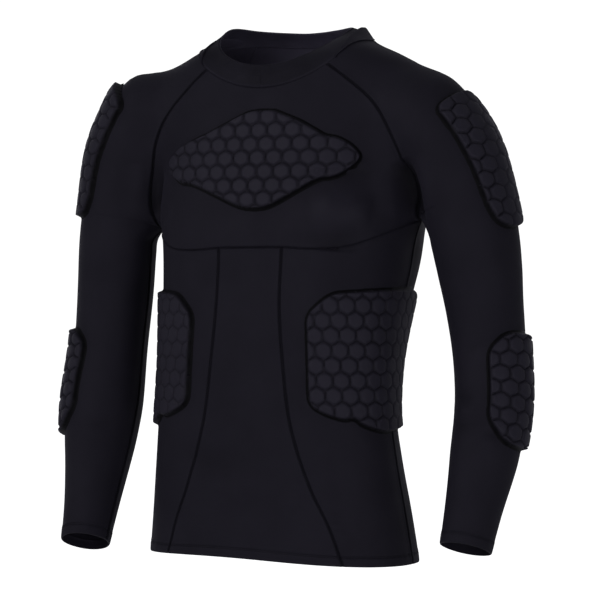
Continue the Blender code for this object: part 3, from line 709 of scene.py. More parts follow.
def back_grid():
    """From the hem to the neckline, between side and raglan seams on both sides."""
    turns = np.linspace(BACK_RAGLAN_TURN, 2 * np.pi - BACK_RAGLAN_TURN, BACK_CELLS + 1)
    edges = []
    for side in ("left", "right"):
        down = np.vstack([raglan(side, BACK_RAGLAN, BACK_RAGLAN_TURN)[:-1], side_seam(side)])
        edges.append(down[::-1])
    bottom = hem_line(edges[0][0], edges[1][0], BACK_CELLS + 1)
    return lifted(patch(bottom, neckline(turns), edges[0], edges[1]))


def sleeve_frame(side, place):
    """Centre, outward direction and forward direction at a share of the centre line."""
    line = CENTRE_LINES[side]
    at = place * (len(line) - 1)
    index = np.arange(len(line))
    centre = np.stack([np.interp(at, index, line[:, k]) for k in range(3)], -1)
    slopes = np.gradient(line[:, :3], axis=0)
    run = unit(np.stack([np.interp(at, index, slopes[:, k]) for k in range(3)], -1))
    out = unit(np.cross(run, (0, 1, 0)))
    return centre, out, np.cross(run, out)


def sleeve_points(side, place, turn, radius=0.055):
    """Points on the sleeve, turned to the front from its outer side, with across positive."""
    centre, out, front = sleeve_frame(side, place)
    around = out * np.cos(turn)[..., None] + front * np.sin(turn)[..., None]
    guess = centre + radius * around
    return on_side(settle(on_side(guess, side), 10), side)


def sleeve_rows(side, pit_height):
    """Places of the sleeve's rows, even along its outside from collar to armpit, and to the cuff."""
    line = CENTRE_LINES[side]
    pit = np.argmin(np.abs(line[:, 2] - pit_height)) / (len(line) - 1)
    places = np.linspace(0, pit, 200)
    outside = sleeve_points(side, places, np.zeros(len(places)))
    collar = np.argmax(outside[:, 0] > NECK_HALF)
    along = arc(outside[collar:])[1:]
    wanted = np.linspace(0, along[-1], RAGLAN_CELLS + 1)[1:]
    upper = np.interp(wanted, along, places[collar + 1:])
    return upper, np.linspace(pit, 1, SLEEVE_LENGTH_CELLS + 1)[1:]


def sleeve_grid(side):
    """Rows from the collar to the cuff, each from the front raglan over the outside to the back."""
    front = on_side(raglan(side, FRONT_RAGLAN, FRONT_RAGLAN_TURN), side)
    back = on_side(raglan(side, BACK_RAGLAN, BACK_RAGLAN_TURN), side)
    upper, lower = sleeve_rows(side, front[-1, 2] + 0.006)
    spread = np.linspace(0, 1, SLEEVE_CELLS + 1)
    turns = np.linspace(FRONT_RAGLAN_TURN, BACK_RAGLAN_TURN, SLEEVE_CELLS + 1)
    rows = [on_side(neckline(SIDES[side] * turns), side)]
    for k, place in enumerate(upper, start=1):
        reach = SLEEVE_REACH + (np.pi - SLEEVE_REACH) * (k / RAGLAN_CELLS) ** 1.5
        ring = sleeve_points(side, np.full(len(spread), place), reach * (1 - 2 * spread))
        ends = (1 - spread)[:, None] * (front[k] - ring[0]) + spread[:, None] * (back[k] - ring[-1])
        ring = on_side(settle(on_side(ring + ends, side)), side)
        ring[0], ring[-1] = front[k], back[k]
        rows.append(ring)
    for place in lower:
        turns = np.pi * (1 - 2 * spread)
        rows.append(sleeve_points(side, np.full(len(spread), place), turns))
    return on_side(np.array(rows), side)


def wide_grid(name):
    """The piece's wide grid, and the rows or columns where two seams meet on one of its edges."""
    side = "left" if name.endswith("left") else "right"
    if name == "chest_panel":
        return chest_grid(), {"bottom": (SIDE_CELLS, SIDE_CELLS + CENTRE_CELLS)}
    if name == "front_centre_panel":
        return centre_grid(), {}
    if name == "back_panel":
        return back_grid(), {"first": (LENGTH_CELLS,), "last": (LENGTH_CELLS,)}
    if name.startswith("sleeve"):
        return sleeve_grid(side), {"first": (RAGLAN_CELLS,), "last": (RAGLAN_CELLS,)}
    return side_grid(side), {}


# Fine surfaces

def places(length, first, last):
    """Shares of a length: the end's own steps at each end and even ones of WIDE_STEP between."""
    low, high = (np.array(HEM_STEPS if end == "hem" else SEAM_STEPS) / 1000 for end in (first, last))
    high = length - high[::-1]
    count = max(int((high[0] - low[-1]) / WIDE_STEP), 2)
    middle = np.linspace(low[-1], high[0], count + 1)[1:-1]
    return np.concatenate([low, middle, high]) / length


def split_line(rows, at, splits):
    """The cubic through a seam's rows, read part by part where other seams meet it."""
    ends = [0, *splits, len(rows) - 1]
    out = np.empty((len(at), 3))
    for low, high in zip(ends[:-1], ends[1:]):
        here = (at >= low) & (at <= high)
        out[here] = spline(rows[low:high + 1], at[here] - low)
    return out


def distances(grid, axis):
    """For each point, how far along its row or column it lies from the first and from the last."""
    steps = np.linalg.norm(np.diff(grid, axis=axis), axis=-1)
    pad = [(0, 0), (0, 0)]
    pad[axis] = (1, 0)
    along = np.pad(np.cumsum(steps, axis=axis), pad)
    total = along[-1:] if axis == 0 else along[:, -1:]
    return along, total - along


def fine_surface(name):
    """The piece's wide grid read on fine shares by cubics both ways, with its seams kept exact."""
    wide, meets = wide_grid(name)
    _, _, _, bottom, top, first, last = CUTS[name]
    down = distances(wide, 0)[0][-1].mean()
    round_it = distances(wide, 1)[0][:, -1].mean()
    v = places(down, bottom, top) * (len(wide) - 1)
    u = places(round_it, first, last) * (wide.shape[1] - 1)
    fine = spline(wide, v)
    fine = np.swapaxes(spline(np.swapaxes(fine, 0, 1), u), 0, 1)
    for edge, splits in meets.items():
        if edge == "bottom":
            gap = split_line(wide[0], u, splits) - fine[0]
            ease = np.clip(1 - distances(fine, 0)[0] / SEAM_EASE, 0, 1) ** 2
            fine = fine + ease[..., None] * gap[None]
        else:
            column = 0 if edge == "first" else -1
            gap = split_line(wide[:, column], v, splits) - fine[:, column]
            ease = np.clip(1 - distances(fine, 1)[column] / SEAM_EASE, 0, 1) ** 2
            fine = fine + ease[..., None] * gap[:, None]
    return fine


def grid_normals(grid):
    """Unit normals of a grid that point out of the figure, and whether its own turn does so."""
    cross = unit(np.cross(np.gradient(grid, axis=1), np.gradient(grid, axis=0)))
    middle = tuple(n // 2 for n in grid.shape[:2])
    turn = np.sign((cross[middle] * outward(grid[middle][None])[0]).sum())
    return cross * turn, turn > 0


def crease_heights(points):
    """Each crease's bell across its line, tapered to its ends, with low shoulders beside a trough."""
    height = np.zeros(points.shape[:-1])
    for depth, width, line in CREASES:
        line = smooth_line(line, 16)
        low, high = line.min(0) - 0.05, line.max(0) + 0.05
        near = ((points > low) & (points < high)).all(-1)
        part = points[near]
        if not len(part):
            continue
        gaps = np.linalg.norm(part[:, None] - line, axis=-1)
        k = gaps.argmin(1)
        share = k / (len(line) - 1)
        taper = np.clip(4 * share * (1 - share) + CREASE_END, 0, 1)
        d = gaps[np.arange(len(k)), k] / (width / 1000)
        trough = bell(d, 1) - CREASE_SHOULDER * bell(d - CREASE_SHOULDER_AT, 1)
        height[near] -= depth / 1000 * trough * taper
    return height


def falling(distance, width):
    """A smooth step from one down to zero as the distance passes zero."""
    return 0.5 - 0.5 * np.tanh(distance / (2 * width))


def seam_heights(distance, sizes, kind):
    """A narrow groove on the seam, and beside it the low ridge of the sewn allowance."""
    depth, share = SEAM_SHARES[kind]
    groove = depth * sizes.seam_groove * bell(distance, 0.0011)
    ridge = sizes.seam_ridge * bell(distance - 0.0036, 0.0018)
    return share * ridge - groove


def hem_heights(distance, along, sizes):
    """The turned hem's double cloth, its stitched groove and the small waves that the stitches draw."""
    band = sizes.hem_rise * falling(distance - sizes.hem_depth - 0.0016, 0.0006)
    middle = sum(HEM_LINES) / 2
    groove = sizes.seam_groove * bell(distance - middle, 0.0016)
    turns = 2 * np.pi * along
    wave = HEM_WAVE * np.sin(turns / HEM_WAVE_PITCH + 2 * np.sin(turns / HEM_WAVE_DRIFT))
    edge = HEM_EDGE * np.exp(-distance / HEM_EDGE)
    return band - groove + wave * bell(distance - middle, 0.006) - edge


def piece_surface(name, sizes):
    """Fine points with seams, hems and creases added along the normals, and all that goes with them."""
    base = fine_surface(name)
    _, _, _, bottom, top, first, last = CUTS[name]
    from_bottom, from_top = distances(base, 0)
    from_first, from_last = distances(base, 1)
    normals, turned = grid_normals(base)
    height = crease_heights(base) * sizes.crease_share
    # Painted shade in the creases' troughs, darkest in the deep ones beside the armpits, and painted
    # highlight on their ridges, such as the fullness under the chest
    painted_shade = np.clip(-height / PAINTED_SHADE_AT, 0, 1)
    painted_highlight = np.clip(height / PAINTED_HIGHLIGHT_AT, 0, 1)
    wall = np.full(base.shape[:2], sizes.cloth)
    kinds = ((bottom, from_bottom, from_first), (top, from_top, from_first))
    for kind, distance, along in (*kinds, (first, from_first, None), (last, from_last, None)):
        if kind == "hem":
            height += hem_heights(distance, along, sizes)
            wall += sizes.hem_rise * falling(distance - sizes.hem_depth, 0.0006)
        else:
            height += seam_heights(distance, sizes, kind)
    points = base + height[..., None] * normals
    cut = np.stack([from_first - (from_first + from_last) / 2, from_bottom], -1)
    return {
        "points": points,
        "normals": normals,
        "wall": wall,
        "cut": cut,
        "turned": turned,
        "painted_shade": painted_shade,
        "painted_highlight": painted_highlight,
    }


# Meshes

def grid_quads(rows, columns, turned=False):
    """Four corner numbers for each cell of a grid."""
    index = np.arange(rows * columns).reshape(rows, columns)
    quads = np.stack([index[:-1, :-1], index[:-1, 1:], index[1:, 1:], index[1:, :-1]], -1)
    quads = quads.reshape(-1, 4)
    return quads if turned else quads[:, ::-1]


def closed_quads(quads, count):
    """The outer cells, the same ones turned for the inner side, and a rim along every open edge."""
    start = quads.ravel()
    end = np.roll(quads, -1, axis=1).ravel()
    open_edge = ~np.isin(start * count + end, end * count + start)
    a, b = start[open_edge], end[open_edge]
    rim = np.stack([b, a, a + count, b + count], -1)
    return np.vstack([quads, quads[:, ::-1] + count, rim])


def add_piece(name, points, quads, cut, material, replaces=()):
    """A mesh object from arrays of points, cells and flat places, riding on the shirt's one body."""
    mesh = bpy.data.meshes.new(name)
    mesh.vertices.add(len(points))
    mesh.vertices.foreach_set("co", np.ascontiguousarray(points, np.float32).ravel())
    mesh.loops.add(quads.size)
    mesh.loops.foreach_set("vertex_index", quads.ravel().astype(np.int32))
    mesh.polygons.add(len(quads))
    mesh.polygons.foreach_set("loop_start", np.arange(0, quads.size, 4, dtype=np.int32))
    mesh.update(calc_edges=True)
    mesh.validate()
    flat = mesh.uv_layers.new(name="cut")
    flat.data.foreach_set("uv", cut[quads.ravel()].astype(np.float32).ravel())
    mesh.shade_smooth()
    mesh.materials.append(material)
    piece = bpy.data.objects.new(name, mesh)
    bpy.context.collection.objects.link(piece)
    if replaces:
        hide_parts(*replaces)
    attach(piece, "root")
    return piece


def add_mask(piece, name, values):
    """A share for each point that the materials read by its name."""
    mask = piece.data.attributes.new(name, "FLOAT", "POINT")
    mask.data.foreach_set("value", np.ascontiguousarray(values, np.float32))


def add_shell(name, surface, material, replaces=()):
    """A closed thin shell: the surface, and the same moved in along its normals by the wall."""
    points, normals = surface["points"], surface["normals"]
    inner = points - surface["wall"][..., None] * normals
    rows, columns = points.shape[:2]
    count = rows * columns
    quads = closed_quads(grid_quads(rows, columns, surface["turned"]), count)
    both = np.vstack([points.reshape(-1, 3), inner.reshape(-1, 3)])
    cut = np.vstack([surface["cut"].reshape(-1, 2)] * 2)
    shell = add_piece(name, both, quads, cut, material, replaces)
    for mask in ("painted_shade", "painted_highlight"):
        add_mask(shell, mask, np.concatenate([surface[mask].ravel()] * 2))
    return shell


# Collar

def collar_frames(count):
    """Foot, rise, height and outward direction of the band at even turns round the neck."""
    turns = np.linspace(0, 2 * np.pi, count, endpoint=False)
    foot = neckline(turns)
    rim = neck_oval(turns, RIM_HALF, RIM_DEPTH, RIM_MIDDLE, RIM_HEIGHTS)
    rim[:, 0] -= RIM_NARROWER * (1 + np.sin(turns))
    rim[:, 2] += RIM_RAISED * np.maximum(-np.sin(turns), 0)
    raised, middle, width = RIM_CORNER
    rim[:, 2] += raised * bell((turns - middle + np.pi) % (2 * np.pi) - np.pi, width)
    rise = unit(rim - foot)
    along = unit(np.roll(foot, -1, axis=0) - np.roll(foot, 1, axis=0))
    return foot, rise, np.linalg.norm(rim - foot, axis=1), unit(np.cross(along, rise))


def collar_surface(sizes, count=320):
    """A profile carried round the neck: up the outside, over a round rim and down the inside."""
    foot, rise, tall, out = collar_frames(count)
    round_rim = sizes.collar_cloth / 2
    up = np.array(COLLAR_LEVELS)
    bend = np.linspace(0, np.pi, 9)
    down = up[::-1]
    level = np.concatenate([up, np.full(len(bend), up[-1]), down])
    above = np.concatenate([0 * up, round_rim * np.sin(bend), 0 * down])
    inside = np.concatenate([0 * up, round_rim * (1 - np.cos(bend)), 0 * down + 2 * round_rim])
    turns = np.linspace(0, 2 * np.pi, count, endpoint=False)[:, None]
    distance = level * tall[:, None]
    bulge = COLLAR_BULGE * np.sin(np.pi * level)
    groove = sizes.seam_groove * bell(distance, 0.0012) * (inside == 0)
    ridge = 0.3 * sizes.seam_ridge * bell(distance - 0.0034, 0.002) * (inside == 0)
    ease = sum(height * np.sin(waves * turns + start) for height, waves, start in COLLAR_EASE)
    lean = bulge + ease * np.sin(np.pi * level) + ridge - groove - inside
    lift = distance + above + 0.0003
    points = foot[:, None] + lift[..., None] * rise[:, None] + lean[..., None] * out[:, None]
    cut = np.stack(np.broadcast_arrays(turns * NECK_HALF, lift), -1)
    # Painted highlight along the bend of the rim, and a thin lighter line just above the foot
    fold = bell(inside - round_rim * 0.9, 0.8 * round_rim) * (above > 0)
    fold = fold + 0.8 * bell(distance - 0.0016, 0.0008) * (inside == 0)
    return points, cut, np.broadcast_to(fold, points.shape[:2])


def ring_quads(rows, columns):
    """Cells of a grid that closes both ways."""
    index = np.arange(rows * columns).reshape(rows, columns)
    right, up = np.roll(index, -1, axis=1), np.roll(index, -1, axis=0)
    return np.stack([index, right, np.roll(right, -1, axis=0), up], -1).reshape(-1, 4)


# Pads

def rounded(outline, rounds=3):
    """The outline with its corners cut, round after round, by no more than a length that halves."""
    for k in range(rounds):
        following = np.roll(outline, -1, axis=0)
        length = np.linalg.norm(following - outline, axis=1, keepdims=True)
        share = np.minimum(0.25, CORNER_CUT / 2**k / length)
        cut = np.stack(
            [(1 - share) * outline + share * following, share * outline + (1 - share) * following], 1
        )
        outline = cut.reshape(-1, 2)
    return outline


def depth_inside(points, outline):
    """Distance to the outline, positive inside it, and the unit vector that leads further in."""
    following = np.roll(outline, -1, axis=0)
    edge = following - outline
    offset = points[:, None] - outline
    t = np.clip((offset * edge).sum(-1) / (edge**2).sum(-1), 0, 1)
    away = offset - t[..., None] * edge
    gaps = np.linalg.norm(away, axis=-1)
    k = gaps.argmin(1)
    row = np.arange(len(points))
    over = (outline[:, 1] > points[:, None, 1]) != (following[:, 1] > points[:, None, 1])
    rise = np.where(edge[:, 1] == 0, 1e-12, edge[:, 1])
    crossing = outline[:, 0] + (points[:, None, 1] - outline[:, 1]) / rise * edge[:, 0]
    sign = np.where((over & (points[:, None, 0] < crossing)).sum(-1) % 2 == 1, 1.0, -1.0)
    return sign * gaps[row, k], sign[:, None] * unit(away[row, k])


def cell_distances(points, lattice):
    """Distance to the nearest border of the honeycomb, and to the middle of the point's cell."""
    pitch, step, across, height, lean = lattice
    row_step = POD_PITCH * np.sqrt(3) / 2
    local = points - (across, height)
    local = np.column_stack(
        [(local[:, 0] - lean * local[:, 1]) * POD_PITCH / pitch, local[:, 1] * row_step / step]
    )
    row = np.floor(local[:, 1] / row_step)
    best = np.full(len(points), np.inf)
    offset = np.zeros_like(points)
    for r in (row, row + 1):
        shift = 0.5 * (np.abs(r) % 2)
        column = np.round(local[:, 0] / POD_PITCH - shift)
        gap = local - np.column_stack([(column + shift) * POD_PITCH, r * row_step])
        far = np.linalg.norm(gap, axis=1)
        nearer = far < best
        best = np.where(nearer, far, best)
        offset[nearer] = gap[nearer]
    turns = np.radians([0, 60, 120])
    reach = np.abs(offset @ np.array([np.cos(turns), np.sin(turns)])).max(1)
    return POD_PITCH / 2 - reach, best


def pod_heights(flat, depth, lattice, calmer, tall, sizes):
    """Heights above the cloth, and two masks: painted shade in the grooves and on the rim, and painted
    highlight on a disc's top.

    A flat edge runs round the pad. Inside it the wall rises at once. Each cell climbs on a quarter
    round from its groove to a flat, and a round disc with a slight swell stands on that.
    """
    border, radius = cell_distances(flat, lattice)
    inside = np.minimum(border, depth - PAD_BORDER)
    t = np.clip((inside - GROOVE_FLOOR) / sizes.pod_shoulder, 0, 1)
    rise = np.sqrt(1 - (1 - t) ** 2)
    disc = smooth_step((DISC_RADIUS - radius) / DISC_EDGE) * rise
    swell = np.clip(1 - (radius / DISC_RADIUS) ** 2, 0, 1)
    flats = tall - sizes.disc_rise - sizes.pod_groove
    body = sizes.pod_groove + flats * rise + sizes.disc_rise * (disc + DISC_SWELL * swell * disc)
    start, width, least = calmer
    calm = np.maximum(CALMEST * smooth_step((flat[:, 0] - start) / width), least)
    border_share = 1 - smooth_step((depth - PAD_BORDER + GROOVE_FLOOR) / 0.0010)
    calm = calm * (1 - border_share)
    body = body + calm * (tall - 0.5 * sizes.disc_rise - body)
    wall = 0.30 + 0.70 * smooth_step(depth / 0.0012)
    edge = 0.0009 * smooth_step((depth + EDGE_WIDTH + 0.0006) / 0.0012) - 0.0005
    height = np.where(depth > -OUTLINE_SLACK, body * wall, edge)
    # Painted shade in the grooves between cells and, darker, on the pad's rim; painted highlight on the
    # discs' tops
    low, span = GROOVE_WALL
    groove = GROOVE_PAINTED_SHADE * (1 - smooth_step((rise - low) / span)) * (1 - calm)
    return height, groove + border_share * (BORDER_PAINTED_SHADE - groove), disc * (1 - calm)


def snapped(flat, depth, inward):
    """Points beside the outline drawn onto it, and the next ones out drawn just outside it."""
    on_line = np.abs(depth) < 0.55 * PAD_STEP
    beyond = (depth <= -0.55 * PAD_STEP) & (depth > -1.1 * PAD_STEP)
    wanted = np.where(on_line, 0.0, np.where(beyond, -0.0004, depth))
    return flat + (wanted - depth)[:, None] * inward, wanted


def pad_surface(outline, place, lattice, calmer, tall, sizes):
    """Cells inside the outline on an even grid, with heights from the honeycomb above the cloth."""
    outline = rounded(np.asarray(outline, float))
    low, high = outline.min(0) - 5 * PAD_STEP, outline.max(0) + 5 * PAD_STEP
    counts = np.ceil((high - low) / PAD_GUIDE_STEP).astype(int)
    x, y = (np.linspace(low[k], high[k], counts[k] + 1) for k in (0, 1))
    guide = place(np.stack(np.meshgrid(x, y), -1).reshape(-1, 2)).reshape(len(y), len(x), 3)
    fine = np.ceil((high - low) / PAD_STEP).astype(int)
    u, v = (np.linspace(low[k], high[k], fine[k] + 1) for k in (0, 1))
    flat = np.stack(np.meshgrid(u, v), -1).reshape(-1, 2)
    depth, inward = depth_inside(flat, outline)
    flat, depth = snapped(flat, depth, inward)
    at = (flat - low) / (high - low) * counts
    ground = bicubic(guide, at)
    normals = unit(bicubic(grid_normals(guide)[0], at))
    ground = ground + (crease_heights(ground) * sizes.crease_share)[:, None] * normals
    top, painted_shade, painted_highlight = pod_heights(flat, depth, lattice, calmer, tall, sizes)
    quads = grid_quads(fine[1] + 1, fine[0] + 1, True)
    kept = (depth > -EDGE_WIDTH - PAD_STEP)[quads].all(1)
    return ground, normals, top, np.column_stack([flat, painted_shade, painted_highlight]), quads[kept]


def bicubic(guide, at):
    """Points of a guide grid at fractional column and row numbers, by a cubic each way."""
    column, row = at.T
    slopes_u = np.gradient(guide, axis=1, edge_order=2)
    slopes_v = np.gradient(guide, axis=0, edge_order=2)
    twist = np.gradient(slopes_u, axis=0, edge_order=2)
    i = np.clip(row.astype(int), 0, guide.shape[0] - 2)
    j = np.clip(column.astype(int), 0, guide.shape[1] - 2)
    s, t = (column - j)[:, None], (row - i)[:, None]
    below, above, slope_below, slope_above = (
        cubic(s, grid[r, j], grid[r, j + 1], slopes[r, j], slopes[r, j + 1])
        for grid, slopes in ((guide, slopes_u), (slopes_v, twist))
        for r in (i, i + 1)
    )
    return cubic(t, below, above, slope_below, slope_above)


def torso_place(flat, side=1):
    """Points on the torso at distances round from the front's middle, and heights."""
    turns = np.linspace(0, np.pi, 241)
    guess = np.empty((len(flat), 3))
    for k, (distance, height) in enumerate(flat):
        ring = section_oval(height, turns)
        along = arc(ring)
        guess[k] = [np.interp(abs(distance), along, column) for column in ring.T]
        guess[k, 0] *= side * (-1 if distance < 0 else 1)
    return settle(guess)


def sleeve_place(flat, piece, side):
    """Points on the sleeve at distances across and down a pad's middle line."""
    start, first_turn, last_turn = SLEEVE_PADS[(piece, side)]
    starts = np.linspace(0.12, 1, 240)
    outside = sleeve_points(side, starts, np.zeros(len(starts)))
    first = np.argmax(outside[:, 2] < start)
    turns = np.radians(first_turn) + np.zeros(len(starts))
    length = SLEEVE_PAD_LENGTHS[piece]
    for _ in range(2):
        outside = sleeve_points(side, starts, turns)
        along = arc(outside)
        along -= along[first]
        turns = np.radians(np.interp(along, [0, length], [first_turn, last_turn]))
    place = np.interp(flat[:, 1], along, starts)
    turn = np.interp(flat[:, 1], along, turns)
    centre = sleeve_frame(side, place)[0]
    middle = sleeve_points(side, place, turn)
    radius = np.linalg.norm(middle - centre, axis=1)
    return on_side(sleeve_points(side, place, turn + flat[:, 0] / radius), side)


def add_pad(name, outline, place, tall, sizes, material):
    """A closed pad: its cells on top and a plain underside just inside the cloth."""
    ground, normals, top, flat, quads = pad_surface(
        outline, place, LATTICES[name.split("_")[0]], CALMER[name], tall, sizes
    )
    used, numbers = np.unique(quads, return_inverse=True)
    quads = numbers.reshape(-1, 4)
    ground, normals, top, flat = ground[used], normals[used], top[used], flat[used]
    outer = ground + top[:, None] * normals
    a, b, c = (outer[quads[:, k]] for k in (0, 1, 2))
    if (np.cross(b - a, c - a) * normals[quads[:, 0]]).sum() < 0:
        quads = quads[:, ::-1]
    points = np.vstack([outer, ground - PAD_SUNK * normals])
    quads = closed_quads(quads, len(used))
    flat = np.vstack([flat] * 2)
    piece = add_piece(name, points, quads, flat[:, :2], material, [name])
    add_mask(piece, "painted_shade", flat[:, 2])
    add_mask(piece, "painted_highlight", flat[:, 3])
    return piece


# Stitching

def inside_line(surface, edge, distance):
    """The line on a piece's surface that keeps the distance from one of its edges, and its normals."""
    points, normals = surface["points"], surface["normals"]
    if edge in ("first", "last"):
        points, normals = np.swapaxes(points, 0, 1), np.swapaxes(normals, 0, 1)
    if edge in ("last", "top"):
        points, normals = points[::-1], normals[::-1]
    along = distances(points, 0)[0]
    reached = (along < distance).sum(0) - 1
    k = np.clip(reached, 0, len(points) - 2)
    column = np.arange(points.shape[1])
    low, high = along[k, column], along[k + 1, column]
    t = ((distance - low) / np.maximum(high - low, 1e-9))[:, None]
    line = points[k, column] * (1 - t) + points[k + 1, column] * t
    return line, unit(normals[k, column] * (1 - t) + normals[k + 1, column] * t)


def even_frames(line, normals, pitch):
    """Middles, runs and normals at even steps along a line."""
    along = arc(line)
    count = max(int(along[-1] / pitch), 1)
    middle = (np.arange(count) + 0.5) * along[-1] / count

    def read(rows, at):
        return np.column_stack([np.interp(at, along, column) for column in rows.T])

    run = read(line, middle + pitch / 3) - read(line, middle - pitch / 3)
    return read(line, middle), unit(run), unit(read(normals, middle))


def stitch_template():
    """One thread on the unit box: four rings of four corners from its sunk start to its sunk end."""
    t = np.array([-0.5, -0.3, 0.3, 0.5])
    high = np.array([-0.35, 0.75, 0.75, -0.35])
    wide = np.array([0.55, 1.0, 1.0, 0.55])
    corners = np.array([(-1, 0), (0, 1), (1, 0), (0, -1)])
    points = [
        (at, w * x * 0.5, h + y * 0.5) for at, h, w in zip(t, high, wide) for x, y in corners
    ]
    quads = [
        (4 * k + n, 4 * k + (n + 1) % 4, 4 * k + 4 + (n + 1) % 4, 4 * k + 4 + n)
        for k in range(3)
        for n in range(4)
    ]
    quads += [(3, 2, 1, 0), (12, 13, 14, 15)]
    return np.array(points), np.array(quads)


def threads(middles, runs, normals, length, thick):
    """The template set on each frame: run times length, side and normal times thickness."""
    shape, quads = stitch_template()
    sides = unit(np.cross(normals, runs))
    points = (
        middles[:, None]
        + shape[None, :, :1] * (length * runs)[:, None]
        + shape[None, :, 1:2] * (thick * sides)[:, None]
        + shape[None, :, 2:] * (thick * normals)[:, None]
    )
    numbers = np.arange(len(middles))[:, None, None] * len(shape) + quads[None]
    return points.reshape(-1, 3), numbers.reshape(-1, 4)


def add_threads(name, sets, material):
    """One object of all the threads in the sets."""
    points, quads, count = [], [], 0
    for middles, runs, normals, length, thick in sets:
        some, cells = threads(middles, runs, normals, length, thick)
        points.append(some)
        quads.append(cells + count)
        count += len(some)
    points, quads = np.vstack(points), np.vstack(quads)
    return add_piece(name, points, quads[:, ::-1], points[:, [0, 2]], material)


def seam_line(name, edge, low=-1.0, high=1.0):
    """A piece's stitch line beside one of its edges, between two heights."""
    line, normals = inside_line(LAID[name], edge, NEEDLE_GAP)
    kept = (line[:, 2] >= low) & (line[:, 2] <= high)
    return line[kept], normals[kept]


def flipped(pair):
    """The same line read from its other end."""
    return pair[0][::-1], pair[1][::-1]


def bust_part(part):
    """The chest's lower line, over one side panel or over the centre one."""
    line, normals = seam_line("chest_panel", "bottom")
    middle = PRINCESS[0][0]
    kept = {
        "centre": np.abs(line[:, 0]) <= middle,
        "left": line[:, 0] > middle,
        "right": line[:, 0] < -middle,
    }[part]
    pair = line[kept], normals[kept]
    return flipped(pair) if part == "right" else pair


def hem_stitches(name, edge, sizes):
    """Both needle lines of a hem."""
    pitch = sizes.stitch_pitch
    lines = (inside_line(LAID[name], edge, distance) for distance in HEM_LINES)
    return [(*even_frames(*line, pitch), HEM_STITCH * pitch, sizes.thread) for line in lines]


def flat_seam(here, there, sizes):
    """Two lines of stitches beside a seam, and the cover thread that crosses between them."""
    pitch = sizes.stitch_pitch
    sets = [(*even_frames(*line, pitch), SEAM_STITCH * pitch, sizes.thread) for line in (here, there)]
    stretch = arc(there[0])[-1] / max(arc(here[0])[-1], 1e-6)
    a, _, a_normals = even_frames(*here, pitch)
    b, _, b_normals = even_frames(*there, pitch * stretch)
    count = min(len(a), len(b)) - 1
    normals = unit(a_normals[:count] + b_normals[:count])
    for start, end in ((a[:count], b[1:count + 1]), (a[1:count + 1], b[:count])):
        middles = (start + end) / 2 + COVER_RISE * normals
        sets.append((middles, end - start, normals, 1.0, COVER_THREAD * sizes.thread))
    return sets


# Materials

def add_node(tree, kind, **values):
    """A node with its own settings."""
    node = tree.nodes.new(kind)
    for key, value in values.items():
        setattr(node, key, value)
    return node


def set_inputs(node, values):
    """Values given to a node's sockets by their names."""
    for name, value in values.items():
        node.inputs[name].default_value = value


def math_node(tree, operation, first, second=None, third=None):
    """A Math node that takes numbers as they are and sockets as links."""
    node = add_node(tree, "ShaderNodeMath", operation=operation)
    for k, value in enumerate((first, second, third)):
        if value is None:
            continue
        if isinstance(value, (int, float)):
            node.inputs[k].default_value = value
        else:
            tree.links.new(value, node.inputs[k])
    return node.outputs[0]


